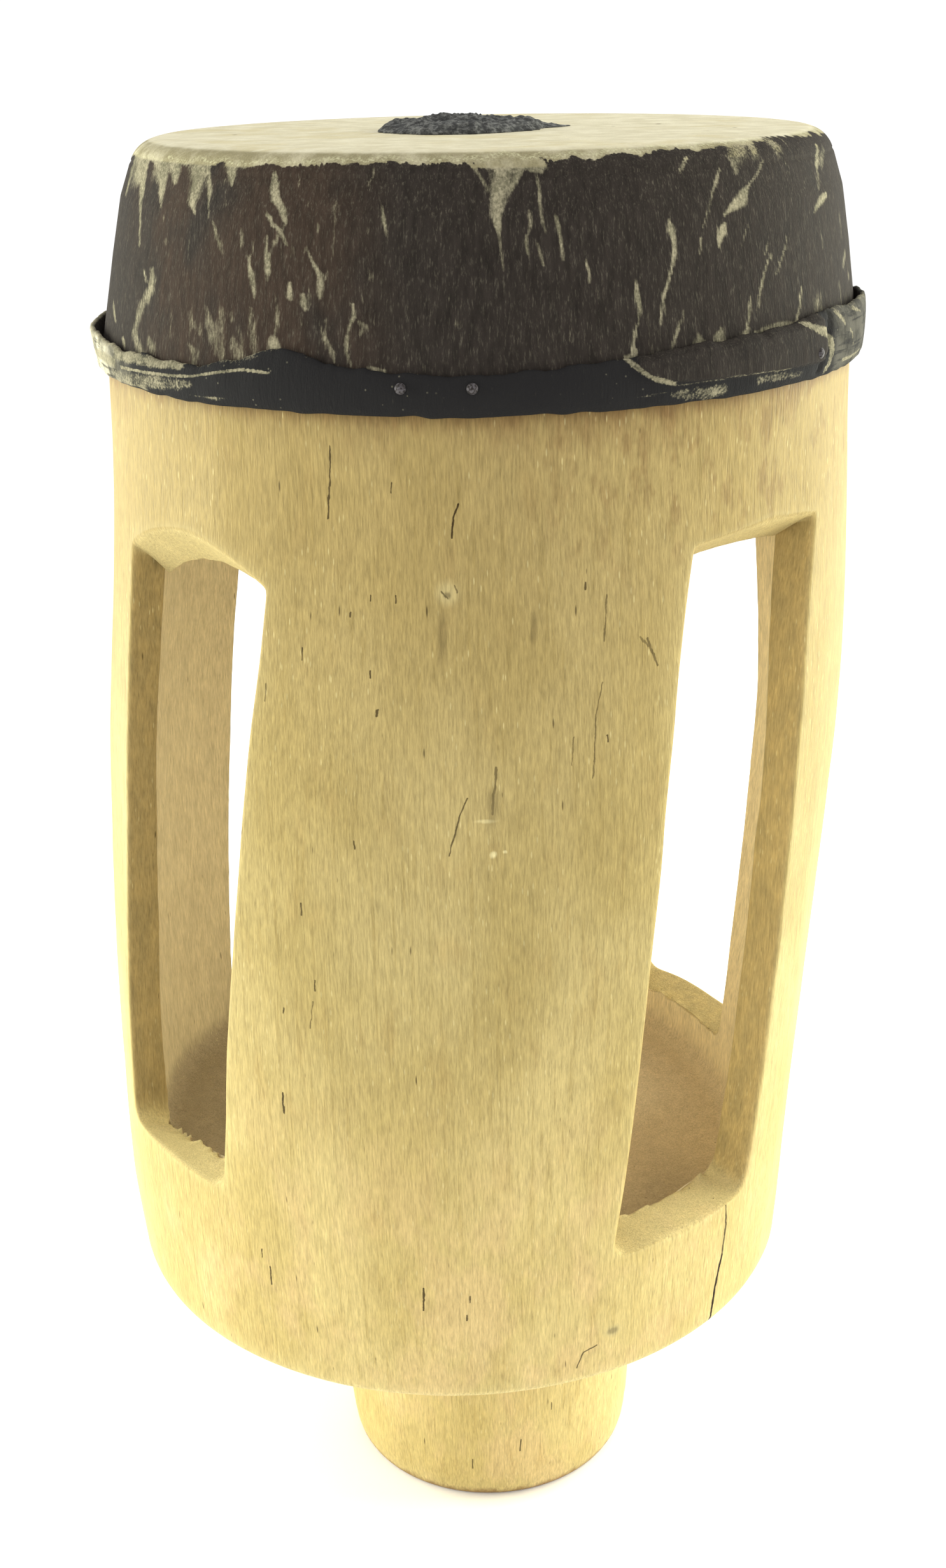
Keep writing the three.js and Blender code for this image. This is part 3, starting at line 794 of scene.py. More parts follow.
@dataclass(frozen=True)
class BareWood:
    """Pale bare wood, rubbed smooth outside, browner and rougher inside."""

    straw: Colour = painted(183, 162, 102)
    cream: Colour = painted(201, 181, 123)
    tan: Colour = painted(178, 152, 96)
    olive: Colour = painted(164, 143, 90)
    jamb: Colour = painted(150, 131, 86)
    inner: Colour = painted(213, 194, 150)
    deep: Colour = painted(190, 170, 132)
    blush: Colour = painted(204, 176, 126)
    # A brown for real stains, rust and splinters, also used for painted shade under the hem and a painted
    # contact shadow at the foot.
    stain_and_shade: Colour = painted(132, 100, 62)
    dark: Colour = painted(36, 22, 8)
    pale: Colour = painted(222, 208, 154)
    grain: Colour = painted(156, 134, 78)
    mean_radius: float = 146.0
    floor_middle: float = -11.0
    floor_fall: tuple[float, float] = (0.0616, 0.0109)
    smudges: Patches = Patches(17.0, 34.0, 0.52, 0.7)
    blushes: Patches = Patches(22.0, 36.0, 0.46, 0.66, 0.6)
    rust: Patches = Patches(8.0, 17.0, 0.5, 0.68)
    warmth: Patches = Patches(12.0, 30.0, 0.54, 0.74, 0.6)
    ticks: Ticks = Ticks(7.0, 44.0, 0.06, 0.02)
    small_ticks: Ticks = Ticks(4.0, 20.0, 0.07, 0.025)
    dashes: Ticks = Ticks(1.8, 9.0, 0.19, 0.08)
    cracks: tuple[Crack, ...] = (
        Crack(((-20.1, 493.0), (-20.3, 481.0), (-20.8, 469.0)), 0.4, 0.8),
        Crack(((-2.9, 475.3), (-3.5, 471.0), (-3.7, 464.5)), 0.55, 0.9),
        Crack(((-11.6, 482.0), (-11.7, 478.8))), Crack(((16.9, 443.0), (16.7, 427.6)), 0.4, 0.6),
        Crack(((21.9, 427.6), (23.0, 424.0)), 0.6, 0.5), Crack(((22.9, 426.6), (24.5, 417.0)), 0.8, 0.6),
        Crack(((16.6, 413.4), (15.8, 402.2), (15.7, 380.0)), 0.32, 0.6),
        Crack(((12.8, 395.0), (12.8, 385.3)), 0.3, 0.5), Crack(((17.5, 394.8), (17.6, 392.4)), 0.5),
        Crack(((-14.7, 444.4), (-14.7, 442.7)), 0.5), Crack(((-11.2, 444.8), (-11.2, 442.4)), 0.5),
        Crack(((-17.5, 438.2), (-17.5, 436.8))), Crack(((-14.6, 418.7), (-14.6, 416.4)), 0.6),
        Crack(((-13.5, 405.4), (-13.4, 403.6)), 0.6), Crack(((-16.1, 358.0), (-15.9, 355.4)), 0.6),
        Crack(((-23.6, 332.0), (-23.5, 327.4)), 0.45), Crack(((14.0, 447.8), (14.0, 445.6)), 0.5),
        Crack(((-24.6, 424.4), (-24.6, 420.2)), 0.4), Crack(((-30.1, 410.2), (-30.2, 404.0)), 0.35, 0.6),
        Crack(((-21.3, 302.5), (-21.2, 298.4)), 0.45), Crack(((-21.5, 293.9), (-21.8, 283.0)), 0.3, 0.6),
        Crack(((-26.1, 289.0), (-26.1, 287.0))), Crack(((-26.2, 253.3), (-26.2, 244.4)), 0.6, 0.85),
        Crack(((-31.4, 178.0), (-31.5, 174.2)), 0.5), Crack(((-30.1, 170.7), (-30.2, 162.2)), 0.6, 0.85),
        Crack(((-4.8, 174.4), (-4.9, 164.0)), 0.6, 0.85), Crack(((2.1, 170.2), (2.1, 167.4)), 0.5),
        Crack(((1.6, 161.3), (1.6, 158.8))), Crack(((22.4, 136.8), (20.1, 134.9), (19.0, 127.7)), 0.5, 0.8),
        Crack(((47.9, 179.0), (48.8, 166.7), (48.4, 151.5)), 0.8, 0.85),
        Crack(((48.4, 151.5), (47.3, 137.1), (46.6, 120.5)), 1.2, 1.0),
        Crack(((12.1, 32.2), (11.7, 26.5)), 1.2, 0.8), Crack(((-6.9, 22.2), (-7.0, 17.2)), 0.9),
        Crack(((24.5, 49.6), (24.5, 46.2)), 0.9), Crack(((2.7, 386.0), (2.4, 369.0)), 0.7, 0.6),
        Crack(((-1.0, 375.0), (-2.1, 366.7), (-3.1, 354.0)), 0.4, 0.75),
        Crack(((-5.1, 446.6), (-4.3, 444.2)), 0.5, 0.7), Crack(((-3.3, 448.8), (-3.0, 446.4)), 0.45, 0.6),
    )
    knots: tuple[Knot, ...] = (
        Knot((-4.3, 446.0), (4.4, 4.6), 0.25, 0.3), Knot((-4.3, 445.4), (1.6, 1.3), 0.5),
        Knot((-4.9, 432.0), (2.2, 12.0), 0.3), Knot((25.1, 141.6), (4.4, 3.0), 0.25, 0.3),
        Knot((25.1, 141.6), (3.4, 2.2), 0.5), Knot((7.1, 433.0), (1.4, 7.0), 0.4),
        Knot((2.4, 372.0), (2.6, 9.0), 0.25), Knot((2.8, 354.2), (1.2, 1.4), 0.0, 0.9),
        Knot((4.3, 355.0), (0.9, 0.7), 0.0, 0.8), Knot((1.6, 366.6), (4.0, 0.8), 0.0, 0.5),
    )

    def unrolled(self, bench: Bench) -> tuple[Wire, Wire, Wire]:
        """Return the distance round the wood from the front, the height and x, in millimetres."""
        across = bench.node("ShaderNodeSeparateXYZ", {}, {0: bench.place()}, "X")
        height = across.output("Z")
        lean = bench.step(height, 150.0, 480.0) * 14.3 + bench.step(height, 93.0, 120.0) * -11.7
        turn = bench.math("ARCTAN2", across - lean, across.output("Y") * -1.0)
        return turn * self.mean_radius, height, across

    def away(self, bench: Bench, sheet: Wire, start: Array, end: Array) -> Wire:
        """Return the distance on the sheet to the straight line between two places.

        Args:
            bench: The node tree.
            sheet: The distance round the wood and the height, as a vector.
            start: The line's start on the sheet, with a third number 0.
            end: Its end.

        Returns:
            The length of what is left of the way from the start, once the part that runs along
            the line, kept between its ends, is taken off.
        """
        run = end - start
        kind = "ShaderNodeVectorMath"
        gone = bench.node(kind, {"operation": "SUBTRACT"}, {0: sheet, 1: start.tolist()})
        unit = (run / float(run @ run)).tolist()
        along = bench.node(kind, {"operation": "DOT_PRODUCT"}, {0: gone, 1: unit}, "Value")
        share = bench.node("ShaderNodeClamp", {}, {"Value": along})
        foot = bench.node(kind, {"operation": "SCALE"}, {0: run.tolist(), "Scale": share})
        left = bench.node(kind, {"operation": "SUBTRACT"}, {0: gone, 1: foot})
        return bench.node(kind, {"operation": "LENGTH"}, {0: left}, "Value")

    def near_crack(self, bench: Bench, crack: Crack, sheet: Wire) -> Wire:
        """Return the crack's depth in it, and 0 away from it."""
        places = [np.array([np.radians(a) * self.mean_radius, z, 0.0]) for a, z in crack.places]
        lines = [self.away(bench, sheet, *ends) for ends in zip(places, places[1:])]
        nearest = lines[0]
        for line in lines[1:]:
            nearest = bench.math("MINIMUM", nearest, line)
        half = crack.width / 2.0
        return bench.step(nearest, half + 0.17, half - 0.05) * crack.depth

    def near_knot(self, bench: Bench, knot: Knot, sheet: Wire) -> Wire:
        """Return 1 in a knot and 0 away from it, from its distance as a share of its size."""
        centre = (np.radians(knot.place[0]) * self.mean_radius, knot.place[1], 0.0)
        kind = "ShaderNodeVectorMath"
        gone = bench.node(kind, {"operation": "SUBTRACT"}, {0: sheet, 1: centre})
        part = bench.node(kind, {"operation": "DIVIDE"}, {0: gone, 1: (*knot.size, 1.0)})
        away = bench.node(kind, {"operation": "LENGTH"}, {0: part}, "Value")
        return bench.step(away, 1.25, 0.3)

    def flaws(self, bench: Bench, round_mm: Wire, height: Wire) -> tuple[Wire, Wire]:
        """Gather the drawn cracks and knots.

        Args:
            bench: The node tree.
            round_mm: The distance round the wood.
            height: The height.

        Returns:
            How dark and how pale they make the wood, from 0 to 1.
        """
        waver = bench.noise(2.2, 2.2, 5.0, 3.0, 0.6)
        parts = {"X": round_mm + (waver - 0.5) * 1.7, "Y": height + (waver - 0.5) * 1.2}
        sheet = bench.node("ShaderNodeCombineXYZ", {}, parts)
        dark = self.near_crack(bench, self.cracks[0], sheet)
        for crack in self.cracks[1:]:
            dark = bench.math("MAXIMUM", dark, self.near_crack(bench, crack, sheet))
        pale = self.near_knot(bench, self.knots[0], sheet) * self.knots[0].paleness
        for knot in self.knots[1:]:
            near = self.near_knot(bench, knot, sheet)
            dark = bench.math("MAXIMUM", dark, near * knot.depth) if knot.depth else dark
            pale = bench.math("MAXIMUM", pale, near * knot.paleness) if knot.paleness else pale
        return dark, pale

    def weathered(self, grain: WoodGrain) -> Wire:
        """Colour the outside.

        Args:
            grain: The shared noises, values and place.

        Returns:
            Straw and cream in broad drifts under grain lines, with smudges, a blush low down,
            rust in the upper right, stains with painted shade along the hide, soil with a painted
            contact shadow on the foot's edge, pale worn arrises with a painted highlight, and
            painted shade that makes the wood tanner and darker with height.
        """
        bench, height, speckle = grain.bench, grain.height, grain.mottle - 0.5
        # Soil and a painted contact shadow: the wood darkened along the foot's bottom edge.
        soil_and_contact_shade = bench.step(height + speckle * 7.0, 5.5, 0.8)
        # Stain and painted shade under the hem: a broad darkening below it and a thin dark band along its
        # edge.
        near_hide = bench.step(height + speckle * 30.0, 484.0, 508.0)
        at_hide = bench.step(height + speckle * 9.0, 497.5, 504.5)
        upper_right = bench.step(grain.across, -10.0, 60.0) * bench.step(height, 430.0, 475.0)
        drifts = bench.step(grain.broad, 0.34, 0.64) * 0.7 + 0.15
        colour = bench.layered(bench.colour(drifts, self.straw, self.cream), (
            # Painted shade: the wall made tanner, and so darker, towards the hide.
            (bench.step(height, 300.0, 500.0) * 0.5, self.tan),
            (bench.step(grain.lines, 0.5, 0.76) * 0.45, self.grain),
            (self.smudges.cover(bench) * 0.16, self.olive),
            (self.blushes.cover(bench) * bench.step(height, 290.0, 150.0) * 0.5, self.blush),
            (self.rust.cover(bench) * upper_right * 0.42, self.stain_and_shade),
            (self.warmth.cover(bench) * 0.35, self.tan),
            # Stain and painted shade under the hem.
            (near_hide * bench.step(grain.broad, 0.4, 0.6) * 0.5, self.stain_and_shade),
            (at_hide * 0.6, self.stain_and_shade),
            (soil_and_contact_shade * 0.75, self.stain_and_shade),
            # Pale worn arrises, with a painted highlight along the rounded edges.
            (bench.mark("arris") * grain.outside * 0.35 * (1.0 - soil_and_contact_shade), self.pale),
        ))
        # Painted shade: the outside darkened with height, most towards the hide.
        shade = 1.01 - bench.step(height, 170.0, 330.0) * 0.21
        return bench.shaded(colour, shade - bench.step(height, 330.0, 500.0) * 0.09)

    def cut_faces(self, grain: WoodGrain, colour: Wire) -> Wire:
        """Colour the cut faces of the windows.

        Args:
            grain: The shared noises, values and place.
            colour: The colour outside them.

        Returns:
            Browner wood, with painted light towards the right, pale where it was cut back by paring
            and lightened further there as painted light, with a dark seam along the inner edge.
        """
        bench, inward, pared = grain.bench, grain.inward, grain.pared
        cut = bench.colour(bench.step(grain.mottle, 0.2, 1.0), self.jamb, self.tan)
        cut = bench.shaded(cut, grain.lit_side * 0.25 + 0.93)
        seam = bench.step(inward, 0.76, 0.84) * bench.step(inward, 0.94, 0.88) * (1.0 - pared)
        return bench.layered(colour, (
            (grain.jamb * 0.9 * (1.0 - pared * 0.85), cut),
            # Painted light: faces cut back by paring, the front sills most, lightened towards pale.
            (grain.jamb * pared * 0.35, self.pale),
            (seam * bench.step(grain.strips, 0.3, 0.6) * 0.4, self.stain_and_shade),
        ))

    def hollow(self, grain: WoodGrain) -> Wire:
        """Colour the inside.

        Args:
            grain: The shared noises, values and place.

        Returns:
            Warm walls and a browner floor, whose edge lies aslant, with painted light towards the
            right, painted shade round the floor's near side where it meets the wall, and painted
            light in its middle.
        """
        bench, across, depth = grain.bench, grain.across, grain.depth
        right, back = self.floor_fall
        low = bench.step(grain.height + across * right - depth * back, 174.0, 163.0)
        colour = bench.colour(low, self.inner, self.deep)
        colour = bench.shaded(colour, grain.lit_side * 0.3 + 0.8 + (grain.mottle - 0.5) * 0.24)
        off_middle = across - self.floor_middle
        away = bench.math("SQRT", off_middle * off_middle + depth * depth)
        nearer = bench.step(across * -0.6 - depth * 0.8, -50.0, 0.0)
        # Painted shade: the floor darkened round its near side, towards the wall.
        painted_floor_shade = low * bench.step(away + (grain.broad - 0.5) * 30.0, 70.0, 105.0) * nearer
        # Painted light: the floor lightened in its middle.
        worn = low * bench.step(away + (grain.mottle - 0.5) * 24.0, 88.0, 50.0)
        return bench.shaded(colour, 1.08 - painted_floor_shade * 0.3 + worn * 0.16)

    def build(self) -> bpy.types.Material:
        """Make the material.

        Returns:
            The colours of the outside, the cut faces and the inside, with short ticks, dashes,
            cracks and knots over them, and the grain's fibres in colour and normal.
        """
        bench = Bench("bare_wood")
        grain = WoodGrain(bench, self.unrolled(bench))
        fibres, strips, inward = grain.fibres, grain.strips, grain.inward
        frayed = bench.step(inward, 0.72, 0.86) * bench.step(inward, 1.0, 0.93) * grain.pared
        small = self.small_ticks.cover(bench) * bench.step(grain.broad, 0.4, 0.55)
        dashes = self.dashes.cover(bench) * bench.step(bench.noise(30.0, 30.0, 30.0), 0.38, 0.54)
        dark, pale = self.flaws(bench, grain.round_mm, grain.height)
        dark = bench.math("MAXIMUM", dark * grain.outside, self.ticks.cover(bench) * 0.7)
        dark = bench.math("MAXIMUM", dark, small * 0.5)
        pale = bench.math("MAXIMUM", pale * grain.outside, dashes * 0.32)
        colour = bench.layered(self.cut_faces(grain, self.weathered(grain)), (
            (grain.inside, self.hollow(grain)),
            (frayed * bench.step(fibres, 0.42, 0.6) * 0.7, self.stain_and_shade),
            (pale, self.pale),
            (dark, self.dark),
        ))
        tone = (fibres - 0.5) * 0.95 + (strips - 0.5) * 0.28 + (grain.mottle - 0.5) * 0.18 + 1.0
        rough = 0.5 + grain.inside * 0.25 + grain.jamb * 0.2 + (fibres - 0.5) * 0.2
        return bench.finish(
            Base_Color=bench.shaded(colour, tone), Roughness=rough, Specular_IOR_Level=0.06,
            Normal=bench.relief(fibres * 0.6 + strips * 0.5, 0.28, 0.85),
        )


FRONT_LEFT = Window(
    middle=-49.0, left=(-61.6, -63.0, -64.9, -65.4, -66.6), right=(-30.5, -33.0, -35.4, -36.8, -38.9),
    lintel=(446.0, 457.0, 443.0), lintel_slopes=(1.2, 0.8), sill=199.0, sill_slopes=(0.55, -0.35),
    starts=-95.0, ends=-3.0, worn=2.4, splinters=3.2, pared=(0.75, 1.0), seed=21,
)
FRONT_RIGHT = Window(
    middle=41.0, left=(30.8, 27.8, 27.4, 27.0, 24.9), right=(57.4, 54.2, 55.0, 54.8, 52.8),
    lintel=(455.5, 457.5, 454.5), lintel_slopes=(0.6, 0.7), sill=177.0, sill_slopes=(-0.25, -0.2),
    starts=-3.0, ends=84.0, worn=3.0, splinters=1.4, pared=(0.6, 0.7), seed=31,
)
BACK_RIGHT = Window(
    middle=127.0, left=(115.5, 113.2, 112.0, 110.0, 109.6), right=(142.5, 141.6, 140.8, 140.0, 139.0),
    lintel=(453.0, 457.0, 451.0), lintel_slopes=(0.6, 0.6), sill=178.0, sill_slopes=(0.1, 0.1),
    starts=84.0, ends=173.5, pared=(0.5, 0.1), seed=41,
)
BACK_LEFT = Window(
    middle=219.0, left=(204.0, 205.0, 206.0, 206.6, 207.5), right=(230.7, 231.5, 232.7, 233.9, 235.0),
    lintel=(451.0, 456.0, 452.0), lintel_slopes=(0.6, 0.6), sill=188.0, sill_slopes=(0.1, 0.1),
    starts=173.5, ends=265.0, pared=(0.5, 0.1), seed=51,
)


Strokes = tuple[tuple[Any, ...], ...]

# Each stroke is its strength and then its points from one end to the other, each an azimuth, a
# height and a width in millimetres.
STREAKS: Strokes = (
    (0.9, (-72.0, 575.6, 6.1), (-71.9, 570.4, 4.4), (-71.8, 564.8, 2.0)),
    (1.0, (-66.5, 576.2, 19.8), (-63.7, 571.6, 6.1), (-62.5, 566.6, 4.4), (-61.6, 562.2, 2.4),
     (-60.7, 555.9, 1.7), (-60.0, 550.1, 1.2)),
    (1.0, (-57.6, 577.6, 14.2), (-55.9, 572.5, 6.6), (-55.3, 568.2, 4.2), (-54.6, 563.6, 1.0)),
    (1.0, (-53.1, 577.4, 11.7), (-52.5, 574.4, 5.6), (-51.9, 571.7, 2.2)),
    (1.0, (-47.0, 578.3, 12.2), (-46.1, 573.5, 7.8), (-46.3, 569.8, 6.6), (-46.5, 567.0, 5.4),
     (-45.9, 564.4, 2.2), (-45.3, 562.6, 0.7)),
    (0.9, (-44.8, 577.8, 3.2), (-43.9, 574.3, 1.7), (-43.1, 570.7, 2.7), (-42.8, 567.1, 1.5),
     (-42.1, 561.7, 0.7)),
    (1.0, (-39.6, 578.8, 7.1), (-39.2, 575.8, 4.4), (-38.7, 573.5, 2.4), (-38.5, 571.6, 0.7)),
    (1.0, (-31.0, 575.6, 2.0), (-30.7, 572.2, 3.9), (-30.2, 568.7, 3.7), (-29.4, 567.0, 2.4),
     (-28.5, 564.1, 2.9), (-27.9, 561.3, 1.5)),
    (0.9, (-31.4, 564.0, 0.7), (-30.5, 562.3, 2.0), (-30.1, 560.1, 1.0)),
    (0.8, (-29.9, 561.0, 0.8), (-28.4, 557.9, 2.0), (-27.6, 554.8, 1.2)),
    (0.7, (-27.9, 561.3, 1.4), (-28.9, 557.6, 1.6), (-29.6, 554.6, 0.8)),
    (1.0, (-31.0, 557.3, 0.7), (-30.9, 553.7, 1.0), (-30.5, 550.2, 2.7), (-30.2, 546.1, 2.2)),
    (0.9, (-33.7, 551.0, 0.7), (-33.4, 547.4, 1.5), (-32.8, 545.0, 2.9), (-32.5, 542.0, 2.2),
     (-32.1, 538.4, 0.7)),
    (0.6, (-35.3, 560.0, 0.2), (-35.1, 557.0, 2.0), (-35.1, 553.9, 2.0)),
    (0.6, (-41.1, 560.3, 1.2), (-40.2, 557.0, 2.4), (-39.1, 552.8, 2.0), (-38.5, 550.5, 0.7)),
    (0.8, (-24.4, 554.2, 0.7), (-23.6, 550.7, 1.2), (-22.7, 547.8, 1.7), (-21.9, 545.5, 2.9),
     (-21.9, 539.8, 2.2)),
    (0.9, (-26.6, 543.0, 2.0), (-26.6, 539.4, 2.4)),
    (1.0, (-13.8, 567.2, 0.5), (-13.4, 562.9, 1.5), (-12.9, 558.4, 0.5)),
    (0.7, (-15.6, 578.4, 0.5), (-15.3, 575.5, 1.0), (-15.8, 573.8, 1.0), (-15.9, 571.5, 0.5)),
    (0.8, (-54.6, 543.1, 2.9), (-54.3, 540.2, 4.4), (-54.3, 537.0, 4.4), (-55.2, 533.9, 4.4)),
    (0.8, (-57.2, 542.6, 1.0), (-56.0, 539.2, 1.7)),
    (0.7, (-54.2, 540.0, 4.4), (-55.0, 535.8, 4.1), (-56.6, 531.4, 4.9), (-57.6, 527.1, 5.4),
     (-57.9, 524.3, 3.9), (-58.4, 522.1, 4.9), (-57.1, 518.5, 5.1), (-55.3, 514.9, 6.4)),
    (0.9, (-69.9, 527.8, 2.9), (-67.4, 522.9, 1.5)),
    (1.0, (-62.8, 518.2, 2.2), (-61.6, 516.2, 2.2)),
    (0.6, (-53.4, 520.2, 4.2), (-52.3, 517.6, 5.1)),
    (0.5, (-40.9, 534.1, 1.5), (-40.1, 529.7, 4.9), (-38.8, 525.4, 7.6), (-37.3, 520.1, 6.1)),
    (0.45, (-37.7, 533.3, 3.4), (-37.5, 530.1, 4.2), (-37.5, 526.9, 2.2)),
    (0.55, (-32.6, 534.8, 1.7), (-32.2, 529.7, 3.9), (-31.8, 525.3, 3.9), (-31.7, 522.6, 2.9)),
    (0.45, (-34.4, 528.7, 1.2), (-33.8, 524.4, 2.9), (-33.4, 521.4, 2.4)),
    (0.5, (-35.4, 524.1, 4.4), (-34.0, 520.1, 5.9)),
    (0.4, (-43.2, 528.4, 4.2), (-41.7, 526.1, 4.2)),
    (0.65, (-28.7, 539.0, 0.7), (-28.3, 534.7, 1.7), (-28.2, 531.5, 2.0), (-28.2, 527.1, 1.0)),
    (0.85, (-26.8, 543.0, 1.2), (-26.5, 540.5, 2.4), (-26.2, 538.4, 1.5)),
    (0.95, (-24.5, 539.8, 1.7), (-24.2, 537.6, 2.9), (-23.9, 535.6, 1.5)),
    (1.0, (-28.6, 525.2, 3.7), (-28.2, 523.4, 4.4), (-28.0, 522.1, 2.7)),
    (0.55, (-21.8, 531.9, 0.7), (-21.2, 528.5, 1.5), (-20.5, 525.5, 2.4), (-19.5, 522.6, 2.4),
     (-19.3, 520.2, 1.7)),
    (1.3, (-17.1, 537.5, 0.5), (-16.9, 533.8, 0.7), (-17.5, 530.7, 0.5), (-17.8, 526.9, 0.7),
     (-17.7, 523.3, 0.5), (-17.0, 519.0, 0.2)),
    (0.6, (-16.2, 532.3, 1.7), (-15.3, 530.7, 2.9), (-15.9, 528.8, 1.7)),
    (0.9, (-14.6, 518.7, 0.4), (-13.4, 518.2, 1.3), (-12.3, 517.7, 0.9)),
    (0.55, (-43.7, 521.4, 1.5), (-42.1, 518.5, 4.4), (-42.3, 515.9, 3.7)),
    (1.0, (2.9, 580.2, 12.7), (2.8, 576.9, 8.3), (2.4, 571.4, 6.6), (2.0, 567.2, 4.6), (1.8, 564.1, 3.7),
     (2.0, 561.0, 2.4), (2.2, 557.9, 1.0), (2.5, 552.9, 0.5), (2.8, 547.8, 0.2)),
    (1.0, (-0.7, 578.7, 2.4), (3.8, 578.5, 3.6), (8.3, 578.0, 3.6)),
    (1.0, (5.1, 576.5, 2.9), (4.4, 573.5, 2.4), (3.9, 571.1, 1.2)),
    (1.0, (6.7, 576.7, 1.6), (8.3, 576.0, 0.8)),
    (0.9, (-1.8, 579.2, 1.5), (-0.7, 576.4, 1.0), (0.3, 572.8, 0.5), (0.9, 570.0, 0.5)),
    (0.9, (7.4, 575.4, 0.5), (7.7, 571.1, 1.2), (7.7, 567.5, 1.0), (7.9, 563.2, 0.7), (8.4, 558.5, 0.5)),
    (1.0, (9.8, 563.3, 1.2), (10.2, 559.9, 1.7), (10.4, 556.1, 1.0), (10.8, 550.0, 0.5)),
    (0.6, (6.3, 565.1, 1.2), (6.4, 561.4, 2.2), (6.2, 558.2, 1.0)),
    (0.8, (5.8, 557.7, 1.0), (5.8, 554.6, 1.2), (6.1, 552.0, 0.5)),
    (0.9, (7.3, 555.1, 0.5), (7.7, 552.0, 1.0), (8.0, 549.0, 0.5)),
    (0.9, (13.8, 549.7, 0.7), (14.2, 546.4, 1.2), (14.3, 543.1, 0.5)),
    (1.0, (20.8, 543.1, 0.5), (20.9, 539.8, 1.7), (21.0, 537.2, 2.0)),
    (1.0, (26.2, 560.2, 1.0), (26.5, 557.5, 2.9), (26.9, 554.9, 2.0), (26.9, 552.3, 1.2),
     (26.8, 549.8, 2.2), (26.5, 546.6, 1.2), (25.8, 542.9, 1.2), (25.0, 537.2, 1.0)),
    (0.9, (30.7, 578.1, 1.2), (29.8, 576.0, 1.0), (29.0, 574.1, 0.7)),
    (0.8, (36.3, 574.4, 1.2), (35.4, 571.6, 1.7), (34.1, 567.3, 1.5), (33.1, 562.9, 1.0),
     (31.8, 557.4, 0.7)),
    (0.9, (31.4, 554.0, 0.7), (31.0, 549.3, 0.7)),
    (0.6, (42.4, 581.2, 8.0), (39.6, 576.8, 6.5), (39.4, 573.6, 3.4)),
    (0.6, (44.9, 580.0, 6.1), (44.1, 576.6, 3.2)),
    (0.55, (50.8, 579.6, 8.6), (50.6, 577.7, 5.1)),
    (0.9, (46.1, 575.8, 0.7), (44.1, 572.3, 1.0), (42.2, 569.7, 1.0), (40.8, 567.6, 1.5)),
    (1.0, (40.6, 567.1, 2.9), (39.5, 564.6, 5.1), (38.1, 563.2, 3.4), (36.5, 561.5, 1.7),
     (35.8, 560.4, 1.2)),
    (1.0, (35.8, 557.8, 1.2), (35.1, 555.5, 3.9), (34.6, 553.3, 2.4), (34.3, 550.8, 1.0)),
    (0.8, (40.3, 556.7, 0.7), (39.3, 553.5, 0.7), (38.4, 548.5, 0.2)),
    (1.0, (65.5, 577.5, 2.0), (62.0, 571.8, 3.2)),
    (0.6, (68.2, 576.4, 2.9), (64.5, 571.9, 3.7)),
    (0.6, (61.5, 569.2, 2.7), (60.6, 564.9, 2.9)),
    (1.0, (63.2, 562.0, 2.0), (60.5, 560.6, 3.4), (58.5, 558.6, 1.7), (57.6, 557.2, 0.7)),
    (1.0, (44.1, 550.4, 0.7), (43.4, 546.9, 0.7)),
    (0.9, (49.0, 552.4, 0.5), (48.1, 547.8, 1.2), (46.8, 544.0, 1.0), (45.5, 540.1, 0.5)),
    (0.9, (44.5, 546.7, 0.7), (43.3, 542.8, 1.0), (42.2, 538.3, 1.2), (41.4, 534.2, 1.2)),
    (0.6, (71.1, 540.2, 3.9), (68.9, 536.9, 3.2)),
    (0.4, (69.9, 553.0, 5.1), (69.9, 546.6, 3.7)),
    (1.0, (20.9, 540.5, 1.5), (21.1, 537.4, 2.0), (21.3, 533.6, 1.0), (21.0, 530.5, 0.5),
     (20.6, 527.5, 1.2), (20.3, 524.4, 1.2), (20.1, 521.8, 1.7)),
    (1.2, (19.1, 520.0, 0.8), (20.1, 519.6, 2.9), (20.4, 521.5, 2.1)),
    (0.9, (25.0, 538.6, 1.2), (24.6, 534.9, 1.0), (24.3, 529.2, 0.5)),
    (1.0, (27.3, 529.5, 0.7), (26.8, 526.3, 1.2), (26.2, 523.4, 1.0), (25.9, 521.2, 0.7)),
    (0.8, (30.2, 524.9, 0.7), (30.2, 522.5, 5.4)),
    (0.8, (34.1, 526.0, 1.0), (33.7, 523.0, 5.1)),
    (0.8, (39.0, 524.6, 1.2), (38.4, 522.5, 4.2)),
    (0.7, (40.1, 522.8, 1.5), (42.8, 523.5, 2.0), (46.1, 523.9, 2.4), (48.6, 523.1, 2.1)),
    (0.9, (39.5, 534.5, 0.7), (39.4, 529.3, 1.2), (38.7, 524.8, 1.2)),
    (0.8, (42.4, 539.0, 1.5), (41.6, 535.2, 1.5), (40.8, 529.5, 0.5)),
    (0.9, (51.5, 534.2, 1.7), (50.8, 528.9, 1.7), (49.5, 523.6, 1.7)),
    (0.9, (49.1, 522.4, 0.9), (52.7, 523.1, 1.2), (56.3, 524.0, 1.3), (62.4, 523.4, 0.8),
     (68.7, 523.2, 1.2)),
    (0.5, (56.2, 527.4, 8.3), (57.0, 524.8, 6.4)),
)
